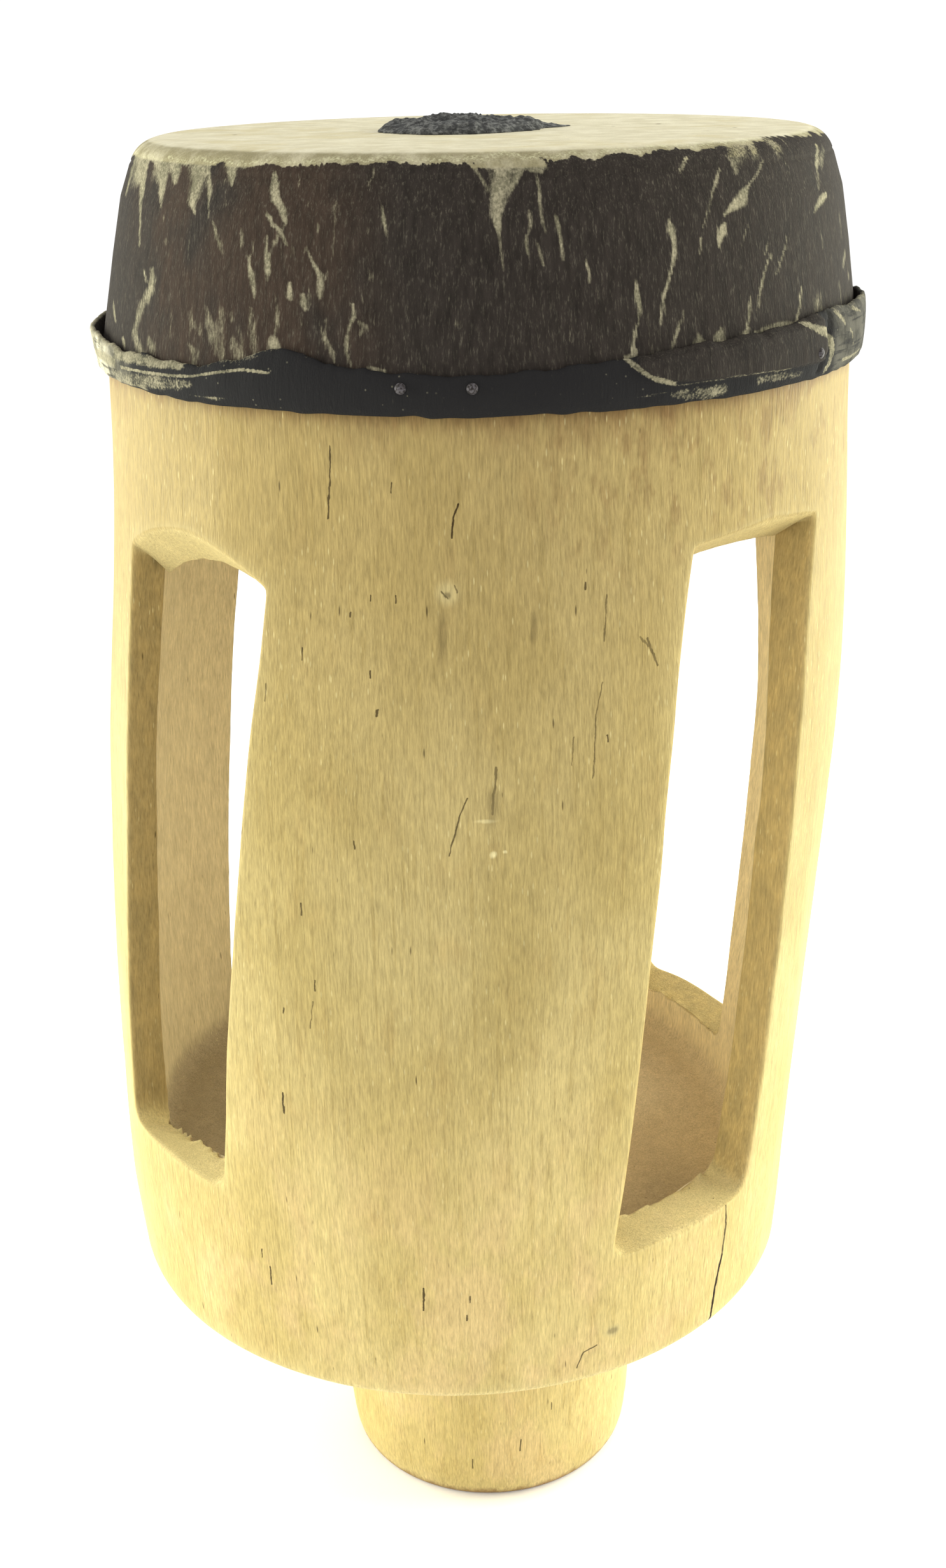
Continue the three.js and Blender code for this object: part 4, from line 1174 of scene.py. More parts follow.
# Pale marks on the hem: torn and rubbed edges of the skin, and painted highlights along the edges of its
# folds, as the thin lines across the left front.
HEM_MARKS: Strokes = (
    (0.9, (18.6, 519.9, 0.9), (19.6, 518.1, 2.5), (20.5, 516.2, 1.7), (21.7, 514.0, 1.4),
     (23.2, 512.5, 2.1), (25.6, 510.7, 1.2)),
    (0.6, (25.6, 510.4, 0.7), (28.0, 510.2, 0.9), (30.9, 510.4, 0.8), (33.6, 510.8, 0.8),
     (36.4, 510.9, 0.7), (39.0, 510.9, 0.9), (42.2, 510.5, 0.6), (45.8, 509.9, 0.8)),
    (0.62, (25.1, 507.4, 2.4), (27.5, 507.2, 5.1), (30.4, 506.7, 5.1), (33.4, 507.2, 3.8)),
    (0.5, (39.5, 508.0, 3.1), (44.1, 507.9, 3.2), (48.3, 507.4, 2.5)),
    (0.5, (19.8, 507.5, 0.5), (22.7, 508.0, 0.9), (24.4, 508.5, 0.9)),
    (1.2, (48.9, 523.6, 1.2), (51.7, 521.0, 2.9), (54.8, 518.4, 3.7), (56.1, 515.4, 3.7),
     (56.4, 512.5, 3.7), (56.1, 508.4, 2.7), (55.2, 505.8, 2.2)),
    (0.9, (58.6, 524.4, 1.0), (60.2, 522.0, 2.2), (60.9, 519.4, 1.2)),
    (0.8, (62.4, 517.6, 1.0), (63.4, 514.9, 2.0), (63.8, 511.8, 1.2)),
    (0.7, (65.5, 523.2, 1.6), (69.0, 521.6, 1.0)),
    (0.8, (61.0, 507.4, 1.4), (66.0, 507.0, 2.2), (72.0, 507.2, 1.2)),
    (0.8, (-61.8, 513.3, 3.7), (-58.6, 513.5, 3.6), (-53.9, 514.3, 4.0), (-48.9, 514.4, 3.4),
     (-43.8, 514.7, 2.5)),
    (1.2, (-58.5, 514.4, 0.7), (-51.5, 515.1, 0.5), (-43.3, 516.0, 0.5)),
    (1.2, (-59.6, 509.9, 1.1), (-51.7, 510.7, 0.8), (-45.6, 511.4, 0.9), (-41.3, 512.2, 0.7),
     (-38.2, 513.8, 1.0), (-35.2, 515.1, 0.9), (-32.8, 516.2, 1.0), (-30.5, 516.3, 0.7),
     (-28.0, 516.0, 0.9)),
    (0.6, (-63.2, 506.8, 3.7), (-56.8, 506.9, 5.0), (-50.2, 507.7, 5.6), (-44.8, 508.9, 4.8),
     (-41.4, 509.5, 2.5)),
    (0.8, (-64.5, 504.1, 1.1), (-56.9, 504.6, 1.0), (-49.3, 505.1, 0.9)),
    (0.7, (-42.3, 505.5, 0.7), (-37.6, 506.1, 0.8), (-34.7, 506.5, 0.4)),
    (0.9, (-75.4, 510.3, 3.4), (-67.4, 510.9, 4.2), (-62.0, 510.6, 4.1)),
)


def covered(strokes: Strokes, azimuth: Array, z: Array, radius: float, least: float) -> Array:
    """Work out how far strokes cover the points of a sheet.

    The cover is 1.5 less the distance to the nearest part of a stroke over half its width there,
    kept from 0 to 1, times the stroke's strength. A stroke thinner than the sheet can show is
    drawn at the least width, and fainter.

    Args:
        strokes: The strokes.
        azimuth: The points' azimuths.
        z: Their heights.
        radius: The radius that the sheet is unrolled at.
        least: The least width that the sheet can show.

    Returns:
        The greatest cover at each point, from 0 to 1.
    """
    round_mm = np.radians(turned_to(azimuth, 0.0)) * radius
    total = np.zeros(np.broadcast(azimuth, z).shape)
    for strength, *points in strokes:
        for (a, low, thin), (b, high, thick) in zip(points, points[1:]):
            start = np.array([np.radians(a) * radius, low])
            run = np.array([np.radians(b) * radius, high]) - start
            share = (round_mm - start[0]) * run[0] + (z - start[1]) * run[1]
            share = np.clip(share / max(float(run @ run), 0.01), 0.0, 1.0)
            off = np.hypot(round_mm - start[0] - share * run[0], z - start[1] - share * run[1])
            width = between(thin, thick, share)
            faint = strength * np.minimum(width / least, 1.0) ** 0.5
            cover = np.clip(1.5 - 2.0 * off / np.maximum(width, least), 0.0, 1.0)
            total = np.maximum(total, faint * cover)
    return np.clip(total, 0.0, 1.0)


@dataclass(frozen=True)
class Hem:
    """The turned-up hem, in millimetres: its edges are given at azimuths round the drum."""

    bottom: float = 503.6
    radius: float = 145.7
    thickness: float = 2.0
    level: float = 513.0
    turns: tuple[float, ...] = (
        -180.0, -120.0, -90.0, -77.0, -60.0, -51.0, -44.0, -40.5, -36.2, -31.8, -28.7, -25.8, -23.5,
        -21.2, -16.8, -12.6, -8.5, -1.0, 5.0, 12.0, 18.0, 24.0, 31.0, 38.0, 48.0, 60.0, 80.0, 110.0,
        145.0, 180.0,
    )
    tops: tuple[float, ...] = (
        520.0, 519.0, 518.0, 518.0, 515.3, 516.0, 515.6, 515.8, 518.2, 520.8, 522.8, 523.6, 522.6,
        520.6, 518.6, 517.6, 517.0, 516.9, 517.2, 518.2, 519.2, 521.0, 522.4, 523.2, 524.0, 526.0,
        524.6, 521.5, 520.0, 520.0,
    )
    roll_starts: float = 20.0
    roll_ends: float = 54.5
    roll_low: float = 510.8
    roll_height: float = 1.7
    pleat_width: float = 0.9

    def top(self, azimuth: Array) -> Array:
        """Return the height of the hem's ragged upper edge."""
        turn = turned_to(azimuth, 0.0)
        angle = np.radians(turn)
        ring = np.stack([140.0 * np.sin(angle), 140.0 * np.cos(angle), 0.0 * angle], axis=-1)
        ragged = 0.7 * Noise(61, (7.0, 7.0, 7.0)).at(ring) + 0.35 * Noise(62, (1.8, 1.8, 1.8)).at(ring)
        return np.interp(turn, self.turns, self.tops) + ragged

    def standing(self, azimuth: Array) -> Array:
        """Return how far the upper edge stands off the skirt: open at both sides, shut in front."""
        turn = turned_to(azimuth, 0.0)
        left = 2.3 * hill(turn, -82.0, 19.0)
        right = 2.1 * hill(turn, 76.0, 15.0)
        back = 0.9 + 0.7 * np.sin(np.radians(4.0 * turn))
        behind = eased(np.abs(turn), 95.0, 130.0)
        return 0.25 + left + right + back * behind

    def rolled(self, azimuth: Array, z: Array) -> Array:
        """Return 1 on the hide's overlapping end in the front right, and 0 off it.

        The overlap starts with a round end, keeps above its lower edge, and stops at the pleat.
        """
        turn = turned_to(azimuth, 0.0)
        along = (turn - self.roll_starts) * HEM_DEGREE
        low = self.roll_low + 5.5 * np.exp(-np.maximum(along, 0.0) / 6.0) - 0.02 * along
        inside = np.minimum(z - low, along)
        inside = np.minimum(inside, (self.roll_ends - turn) * HEM_DEGREE)
        return eased(inside, -0.2, 1.6)

    def pleat(self, azimuth: Array, z: Array) -> Array:
        """Return 1 in the upright crease that ends the overlap, leaning a little to the left."""
        line = self.roll_ends + (z - self.level) * 0.22
        return hill((turned_to(azimuth, 0.0) - line) * HEM_DEGREE, 0.0, self.pleat_width)

    def bulge(self, azimuth: Array, share: Array) -> Array:
        """Return how far the hem swells out: a fold at the right, a turned-out lip at the left."""
        turn = turned_to(azimuth, 0.0)
        fold = 1.6 * hill(turn, 66.0, 7.0) * np.sin(np.pi * share) ** 0.7
        return fold + 0.9 * hill(turn, -84.0, 15.0) * (1.0 - share) ** 1.5


@dataclass(frozen=True)
class StretchedHide:
    """The hide: head, skirt and turned-up hem, in one closed surface.

    Clearance is the gap between the hide and the wood. The skirt ends behind the hem, and the
    groove is how far down the gap between the two goes.
    """

    timber: Timber
    hem: Hem
    thickness: float = 2.0
    clearance: float = 0.35
    columns: int = 590
    skirt_ends: float = 518.0
    groove: float = 510.5
    marks: tuple[str, ...] = ("bare", "hem", "flesh", "torn", "roll", "head", "band", "line")

    @property
    def head_height(self) -> float:
        """Return the height of the head's upper face."""
        return self.timber.rim_height + self.clearance + self.thickness

    def azimuths(self) -> Array:
        """Return the columns' azimuths, closer together at the front than at the back."""
        turn = np.linspace(-180.0, 180.0, self.columns, endpoint=False)
        return turn - 34.0 * np.sin(np.radians(turn))

    def taper(self, offset: float) -> tuple[Array, Array]:
        """Return radius and height down the shoulder, moved outwards by an offset."""
        radius = np.array([122.5 + 0.7 * offset, 126.4, 130.15, 134.15, 137.2, 138.75, 140.5])
        radius[1:] += offset
        height = np.array([578.9 + 0.7 * offset, 573.8, 563.0, 543.0, 525.0, 516.0, 508.0])
        return radius, height

    def skirt_radius(self, z: Array) -> Array:
        """Return the radius of the skirt's outer face at a height."""
        radius, height = self.taper(self.clearance + self.thickness)
        return np.interp(z, height[::-1], radius[::-1])

    def turned_up(self, azimuth: Array, edge: Array, lean: Array) -> tuple[Array, Array, Array]:
        """Work out the hem's outer face.

        It swells between its crest and its bottom edge, and carries the overlapping end, the
        bulges, the pleat and some unevenness.

        Args:
            azimuth: The columns' azimuths, as one row.
            edge: The height of the hem's upper edge, as one row.
            lean: The radius just outside that edge, as one row.

        Returns:
            Radius and height, rows by columns, and how far the bottom edge is frayed.
        """
        hem = self.hem
        foot = hem.radius - 1.0
        fall = np.linspace(0.0, 1.0, 25)[1:, None]
        z = between(edge - 0.9, hem.bottom + 2.4, fall)
        belly = np.sin(np.pi * np.clip(fall, 0.0, 1.0)) ** 0.8
        swell = np.maximum(hem.radius - 0.4 - between(lean, foot, 0.6), 0.3)
        radius = between(lean, foot, fall**0.8) + belly * swell * 0.8
        face = self.timber.point(azimuth, radius, z)
        radius = radius + hem.roll_height * hem.rolled(azimuth, z) + hem.bulge(azimuth, fall)
        radius = radius - 1.6 * hem.pleat(azimuth, z)
        radius = radius + 0.3 * Noise(63, (9.0, 9.0, 9.0)).at(face)
        return radius, z, 0.6 * Noise(64, (6.0, 6.0, 6.0)).at(face[-1:])

    def section(self, azimuth: Array) -> tuple[Array, Array, Array]:
        """Work out the hide's whole section at each azimuth.

        Args:
            azimuth: One azimuth a column.

        Returns:
            Radius and height, rows by columns, and the row numbers that part its stretches.
        """
        azimuth = azimuth[None, :]
        ones = np.ones_like(azimuth)
        top = self.head_height
        head_r = np.array([0.0, 30.0, 58.0, 78.0, 94.0, 105.0, 112.0, 116.0])[:, None] * ones
        turn = np.linspace(0.0, 1.0, 17)[1:, None]
        corner = (1 - turn) ** 2 * 117.5 + 2 * turn * (1 - turn) * 125.2 + turn**2 * 128.0
        corner_z = (1 - turn) ** 2 * top + 2 * turn * (1 - turn) * (top - 0.6) + turn**2 * 575.6
        skirt_z = np.linspace(575.0, self.skirt_ends, 88)[:, None] * ones
        groove_z = between(self.skirt_ends, self.groove, np.linspace(0.0, 1.0, 4)[1:, None]) * ones
        edge = self.hem.top(azimuth)
        rise = np.linspace(0.0, 1.0, 5)[:, None]
        lip_z = between(self.groove - 0.5, edge - 0.9, rise)
        turned_out = self.hem.bulge(azimuth, np.zeros((1, 1)))
        lip_r = self.skirt_radius(lip_z) + 0.25 + self.hem.standing(azimuth) * rise
        lip_r = lip_r + turned_out * rise**2
        crest_r = lip_r[-1:] + np.array([0.35, 1.0, 1.65])[:, None]
        crest_z = edge + np.array([-0.2, 0.0, -0.3])[:, None]
        lean = lip_r[-1:] - turned_out + self.hem.thickness
        face_r, face_z, frayed = self.turned_up(azimuth, edge, lean)
        under_r = np.array([144.4, 143.4, 142.2, 141.1, 140.85])[:, None] * ones
        under_z = np.array([504.7, 503.7, 503.5, 504.2, 507.0])[:, None] + frayed
        lining = self.taper(self.clearance)
        count = len(lining[0])
        steps = np.linspace(0.0, count - 1.0, 8)
        lining_r, lining_z = (
            np.interp(steps, np.arange(count), values)[::-1, None] * ones for values in lining
        )
        below_r = np.array([117.0, 70.0, 0.0])[:, None] * ones
        stretches = [
            (head_r, np.full_like(head_r, top)), (corner * ones, corner_z * ones),
            (self.skirt_radius(skirt_z), skirt_z), (self.skirt_radius(groove_z), groove_z),
            (lip_r, lip_z), (crest_r, crest_z), (face_r, face_z), (under_r, under_z),
            (lining_r, lining_z), (below_r, np.full_like(below_r, top - self.thickness)),
        ]
        radius = np.concatenate([r for r, _ in stretches])
        height = np.concatenate([z for _, z in stretches])
        return radius, height, np.cumsum([len(r) for r, _ in stretches])

    def hairline(self, azimuth: Array) -> Array:
        """Return the height where the bare head ends and the hair begins."""
        turn = turned_to(azimuth, 0.0)
        level = np.interp(
            turn, (-100.0, -60.0, -46.0, -24.0, -8.0, 10.0, 30.0, 42.0, 54.0, 80.0, 120.0),
            (577.0, 576.6, 577.6, 578.2, 579.3, 579.3, 580.4, 580.8, 581.4, 580.4, 579.0),
        )
        angle = np.radians(turn)
        ring = np.stack([126.0 * np.sin(angle), 126.0 * np.cos(angle), 0.0 * angle], axis=-1)
        teeth = np.abs(Noise(71, (1.4, 1.4, 1.4)).at(ring)) + 0.6 * Noise(74, (2.6, 2.6, 2.6)).at(ring)
        return level + 1.0 * teeth - 0.3 + 0.8 * Noise(72, (7.0, 7.0, 7.0)).at(ring)

    def bare(self, azimuth: Array, z: Array) -> Array:
        """Return 1 where the skin shows through the hair, and 0 under full hair."""
        shown = eased(z - self.hairline(azimuth), -0.5, 0.5)
        turn = turned_to(azimuth, 0.0)
        point = self.timber.point(azimuth, 134.0, z)
        shown = np.maximum(shown, 0.85 * covered(STREAKS, azimuth, z, 134.0, 1.25))
        fleck = Noise(73, (1.9, 1.9, 7.0)).at(point)
        worn = hill(turn, -36.0, 13.0) * hill(z, 524.0, 12.0)
        worn = np.maximum(worn, 0.7 * hill(turn, -27.0, 9.0) * hill(z, 548.0, 20.0))
        worn = np.maximum(worn, 0.5 * hill(turn, 66.0, 12.0) * hill(z, 530.0, 14.0))
        behind = 0.1 * eased(np.abs(turn), 80.0, 110.0)
        shown = np.maximum(shown, 0.42 * eased(fleck, 0.62 - 0.6 * worn - behind, 0.95 - 0.45 * worn))
        return shown

    def rim_band(self, azimuth: Array, radius: Array, z: Array) -> tuple[Array, Array]:
        """Return how far a point is in the band of hair roots round the head, and in the pale
        line along the hair's edge, a painted highlight."""
        outer = eased(radius, 120.6, 122.6) * eased(z, 570.0, 575.0)
        return outer, hill(z - self.hairline(azimuth), 1.1, 0.65) * (radius > 120.0)

    def build(self) -> bpy.types.Object:
        """Make the hide and dress it.

        Returns:
            The hide, carrying at its points how bare it is, how far it is hem, flesh side or
            pale torn edge, and how far it is head.
        """
        azimuth = self.azimuths()
        radius, z, ends = self.section(azimuth)
        turn = np.broadcast_to(azimuth[None, :], z.shape)
        grid = self.timber.point(turn, radius, z)
        row = np.arange(len(z))[:, None]
        head_end, rim_end, _, groove_end, lip_end, crest_end, _, under_end = ends[:8]
        swell = 0.35 * Noise(65, (38.0, 38.0, 60.0)).at(grid) + 0.12 * Noise(66, (6.0, 6.0, 16.0)).at(grid)
        on_skirt = (row >= head_end) * (row < groove_end)
        radius = radius + on_skirt * (swell + 0.2) * eased(z, 505.0, 520.0)
        grid = self.timber.point(turn, radius, z)
        drift = 0.22 * Noise(67, (45.0, 45.0, 45.0)).at(grid) * (row < head_end)
        grid[..., 2] += drift * eased(radius, 40.0, 60.0)
        on_hem = (row >= lip_end) * (row < under_end) * 1.0
        near = turned_to(turn, 0.0)
        flesh_left = 0.9 * eased(-near, 54.0, 72.0) * (1.0 - eased(-near, 92.0, 130.0))
        flesh_right = 0.12 * eased(near, 56.0, 59.0) * (1.0 - eased(near, 100.0, 140.0))
        rolled = self.hem.rolled(turn, z)
        # Pale along the hem's crest: partly torn skin, partly a painted highlight on the fold's edge.
        torn = hill(row, crest_end - 2.0, 2.2) * (
            0.5 * hill(near, -34.0, 16.0) + 0.9 * eased(-near, 52.0, 62.0) + 0.55 * eased(near, 50.0, 60.0)
        )
        drawn = covered(HEM_MARKS, turn, z, 145.4, 0.9)
        # The line is a painted highlight along the hair's edge round the head.
        band, line = self.rim_band(turn, radius, z)
        skin = Skin("stretched_hide", self.marks)
        skin.add(
            grid,
            bare=self.bare(turn, z) * (row < groove_end),
            hem=on_hem,
            flesh=on_hem * np.maximum(flesh_left, flesh_right),
            torn=np.clip(torn + on_hem * drawn, 0.0, 1.0),
            roll=on_hem * rolled,
            head=(row < rim_end - 3) * 1.0,
            band=band * (row < rim_end),
            line=line * (row < rim_end),
        )
        piece = skin.build()
        piece.data.materials.append(RawHide().build())
        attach(piece, BODY)
        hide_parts("drumhead_hide")
        return piece


class HideGrain:
    """What all parts of the hide's finish share: its noises and how bare the hide is."""

    def __init__(self, bench: Bench) -> None:
        """Add the noises."""
        self.bench = bench
        self.bare = bench.mark("bare")
        self.strands = bench.noise(0.6, 0.6, 7.0, 3.0, 0.7)
        self.tufts = bench.noise(2.2, 2.2, 16.0, 2.0, 0.55)
        self.patches = bench.noise(26.0, 26.0, 40.0, 2.0)
        self.mottle = bench.noise(9.0, 9.0, 9.0, 4.0, 0.6)
        self.grit = bench.noise(0.9, 0.9, 0.9, 2.0, 0.6)


@dataclass(frozen=True)
class RawHide:
    """Raw hide: dark short hair on the sides, bare cream skin on the head, near-black hem."""

    hair: Colour = painted(46, 41, 37)
    hair_red: Colour = painted(57, 46, 38)
    hair_tip: Colour = painted(98, 93, 80)
    skin: Colour = painted(104, 100, 80)
    skin_pale: Colour = painted(158, 150, 124)
    head: Colour = painted(208, 201, 175)
    head_shade: Colour = painted(192, 184, 156)
    roots: Colour = painted(138, 130, 100)
    # The line: a painted highlight along the hair's edge round the head.
    line: Colour = painted(206, 202, 164)
    hem: Colour = painted(36, 35, 35)
    hem_flesh: Colour = painted(120, 116, 98)
    flesh_pale: Colour = painted(206, 199, 174)
    scuff: Colour = painted(228, 224, 198)
    ochre: Colour = painted(190, 178, 138)
    speck: Colour = painted(60, 50, 36)

    def haired(self, grain: HideGrain) -> Wire:
        """Colour the hair.

        Args:
            grain: The shared noises.

        Returns:
            Dark upright hair, reddish in patches at the left, paler along single strands.
        """
        bench = grain.bench
        across = bench.node("ShaderNodeSeparateXYZ", {}, {0: bench.place()}, "X")
        reddish = bench.step(grain.patches, 0.35, 0.55) * bench.step(across, -15.0, -50.0)
        reddish = reddish * bench.step(across, -122.0, -100.0)
        hair = bench.colour(reddish * 0.8, self.hair, self.hair_red)
        hair = bench.colour(bench.step(grain.strands, 0.5, 0.8) * 0.6, hair, self.hair_tip)
        return bench.shaded(hair, (grain.tufts - 0.5) * 1.2 + (grain.grit - 0.5) * 0.2 + 1.04)

    def rubbed(self, grain: HideGrain) -> Wire:
        """Return the skin that shows where the hair is rubbed off."""
        bench = grain.bench
        share = bench.step(grain.grit * 0.5 + grain.mottle * 0.5, 0.36, 0.66)
        skin = bench.colour(share, self.skin, self.skin_pale)
        return bench.shaded(skin, (grain.strands - 0.5) * 0.8 + 1.0)

    def shaved(self, grain: HideGrain) -> Wire:
        """Colour the head.

        Args:
            grain: The shared noises.

        Returns:
            Cream skin with ochre drifts, scuffs and a few specks, and round it the band of hair
            roots and its pale line, a painted highlight along the hair's edge.
        """
        bench, mottle, grit = grain.bench, grain.mottle, grain.grit
        drift = bench.step(bench.noise(30.0, 30.0, 30.0, 3.0, 0.6), 0.5, 0.68)
        scuffs = bench.step(bench.noise(13.0, 2.4, 4.0, 3.0, 0.65), 0.56, 0.72)
        top = bench.colour(bench.step(mottle, 0.32, 0.72), self.head_shade, self.head)
        top = bench.layered(top, ((drift * 0.55, self.ochre), (scuffs * 0.5, self.scuff)))
        top = bench.shaded(top, (grit - 0.5) * 0.2 + 1.0)
        roots = bench.colour(bench.step(mottle, 0.4, 0.75) * 0.7, self.roots, self.head_shade)
        roots = bench.shaded(roots, (grain.strands - 0.5) * 0.9 + 1.0)
        return bench.layered(top, (
            (bench.mark("band"), roots),
            # Painted highlight: a pale line along the hair's edge.
            (bench.mark("line") * bench.step(grit, 0.4, 0.7) * 0.7, self.line),
            (bench.step(bench.cells(23.0, 23.0, 23.0), 0.07, 0.04), self.speck),
        ))

    def hemmed(self, grain: HideGrain, hair: Wire) -> Wire:
        """Colour the hem.

        Args:
            grain: The shared noises.
            hair: The colour of the overlapping end.

        Returns:
            Near-black skin with pale flecks, hair on the overlapping end, and the banded flesh
            side where the hem is turned out.
        """
        bench = grain.bench
        flecks = bench.step(bench.cells(3.2, 3.2, 3.2), 0.13, 0.06)
        bands = bench.step(bench.noise(18.0, 18.0, 1.7, 3.0, 0.6), 0.52, 0.66)
        flesh = bench.colour(bench.step(grain.mottle, 0.36, 0.6), self.hem_flesh, self.flesh_pale)
        flesh = bench.colour(bands * 0.75, flesh, self.hem)
        hem = bench.colour(bench.step(grain.strands, 0.62, 0.9) * 0.35, self.hem, self.hair_tip)
        return bench.layered(hem, (
            (flecks * bench.step(grain.patches, 0.45, 0.6) * 0.5, self.hem_flesh),
            (bench.mark("roll") * 0.85, hair),
            (bench.mark("flesh"), flesh),
        ))

    def build(self) -> bpy.types.Material:
        """Make the material.

        Returns:
            Upright hair lines over dark hair, mixed with bare skin, the plain head and the hem by
            the values that the mesh carries.
        """
        bench = Bench("raw_hide")
        grain = HideGrain(bench)
        bare, grit, ragged = grain.bare, grain.grit, grain.strands - 0.5
        hair, skin = self.haired(grain), self.rubbed(grain)
        fringe = bench.step(bare + ragged * 0.9 + (grain.tufts - 0.5) * 0.6, 0.18, 0.92)
        on_head = bench.mark("head") * bench.step(bare + ragged * 0.8, 0.35, 0.65)
        # Torn edges and painted highlights on the hem, shown in the pale skin's colour.
        torn = bench.mark("torn") + (grit - 0.5) * 0.9 + (grain.mottle - 0.5) * 0.9
        colour = bench.layered(hair, (
            (fringe, skin),
            (on_head, self.shaved(grain)),
            (bench.mark("hem"), self.hemmed(grain, hair)),
            (bench.step(torn, 0.35, 0.85) * 0.85, skin),
        ))
        raised = (grain.strands * 0.8 + grain.tufts * 0.5) * (1.0 - fringe * 0.6) + grit * 0.3
        return bench.finish(
            Base_Color=colour, Roughness=0.75 + (grain.tufts - 0.5) * 0.2,
            Specular_IOR_Level=0.04, Normal=bench.relief(raised, 0.4, 0.9),
        )


@dataclass(frozen=True)
class DriedPaste:
    """Dry fibrous paste, charcoal grey."""

    dark: Colour = painted(42, 42, 41)
    grey: Colour = painted(104, 104, 100)

    def build(self) -> bpy.types.Material:
        """Make the material: grey crumbs and fibres over charcoal."""
        bench = Bench("dried_paste")
        crumbs = bench.noise(2.2, 2.2, 1.4, 4.0, 0.65)
        threads = bench.noise(5.0, 0.9, 0.9, 3.0, 0.6)
        colour = bench.colour(bench.step(crumbs, 0.42, 0.68), self.dark, self.grey)
        colour = bench.shaded(colour, threads * 0.9 + 0.55)
        return bench.finish(
            Base_Color=colour, Roughness=0.92, Normal=bench.relief(crumbs + threads * 0.6, 0.6, 0.9),
        )


@dataclass(frozen=True)
class PastePat:
    """The pat of paste on the head: a lumpy mound with a ragged edge and a flat drawn-out tail.

    Base is the height of the head. Each tail is an azimuth, a reach and a spread in degrees.
    """

    base: float
    radius: float = 30.8
    height: float = 5.2
    place: tuple[float, float] = (-2.2, -3.2)
    tails: tuple[tuple[float, float, float], ...] = (
        (101.0, 9.0, 9.0), (106.0, 6.0, 4.0), (205.0, 3.0, 12.0),
    )

    def outline(self, azimuth: Array) -> Array:
        """Return the pat's reach at an azimuth: two slow waves and small ragged teeth."""
        angle = np.radians(azimuth)
        ring = np.stack([33.0 * np.sin(angle), 33.0 * np.cos(angle), 0.0 * angle], axis=-1)
        ragged = 1.0 * Noise(81, (3.0, 3.0, 3.0)).at(ring) + 0.6 * Noise(82, (1.1, 1.1, 1.1)).at(ring)
        return self.radius + 1.6 * np.cos(2 * angle + 0.4) + 1.1 * np.sin(5 * angle + 2.0) + ragged

    def build(self) -> bpy.types.Object:
        """Make the pat: height falls as 1 - r^12 towards the edge, with ridges of fibre on it."""
        azimuth = np.linspace(0.0, 360.0, 260, endpoint=False)[None, :]
        share = np.concatenate([np.linspace(0.0, 0.9, 40), np.linspace(0.91, 1.0, 10)])[:, None]
        edge = self.outline(azimuth)
        tail = sum(reach * hill(azimuth, at, spread) for at, reach, spread in self.tails)
        radius = share * edge + share**4 * tail
        angle = np.radians(azimuth)
        x = radius * np.sin(angle) + self.place[0]
        y = -radius * np.cos(angle) + self.place[1]
        flat = np.stack(np.broadcast_arrays(x, y, np.zeros_like(x)), axis=-1)
        ridges = 1.0 - np.abs(Noise(83, (6.0, 2.4, 4.0)).at(flat))
        crumbs = Noise(84, (1.6, 1.3, 2.0)).at(flat)
        lumps = Noise(85, (13.0, 11.0, 9.0)).at(flat)
        mound = (1.0 - share**12) * self.height * (0.62 + 0.3 * lumps)
        on_tail = np.clip(tail / 4.0, 0.0, 1.0) * eased(share, 0.7, 0.95)
        rough = (ridges - 0.6) * 1.5 + 0.6 * crumbs
        z = mound * (1.0 - 0.75 * on_tail) + rough * (1.0 - share**8) + 0.35
        z = np.clip(z, 0.15, self.height + 0.3)
        top = np.stack(np.broadcast_arrays(x, y, z + self.base), axis=-1)
        skin = Skin("paste_pat", ())
        under = top[::-1].copy()
        under[..., 2] = self.base + 0.02
        skin.add(np.concatenate([top, under]))
        piece = skin.build()
        piece.data.materials.append(DriedPaste().build())
        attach(piece, BODY)
        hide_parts("tuning_paste")
        return piece


@dataclass(frozen=True)
class DullSteel:
    """Old steel: dulled, with a brown film that is worn off the crown."""

    steel: Colour = painted(92, 88, 90)
    film: Colour = painted(50, 45, 43)

    def build(self) -> bpy.types.Material:
        """Make the material."""
        bench = Bench("dull_steel")
        spots = bench.noise(0.8, 0.8, 0.8, 3.0)
        colour = bench.colour(bench.step(spots, 0.4, 0.62), self.steel, self.film)
        return bench.finish(
            Base_Color=colour, Metallic=0.7, Roughness=0.5 + spots * 0.4,
            Normal=bench.relief(spots, 0.08, 0.6),
        )


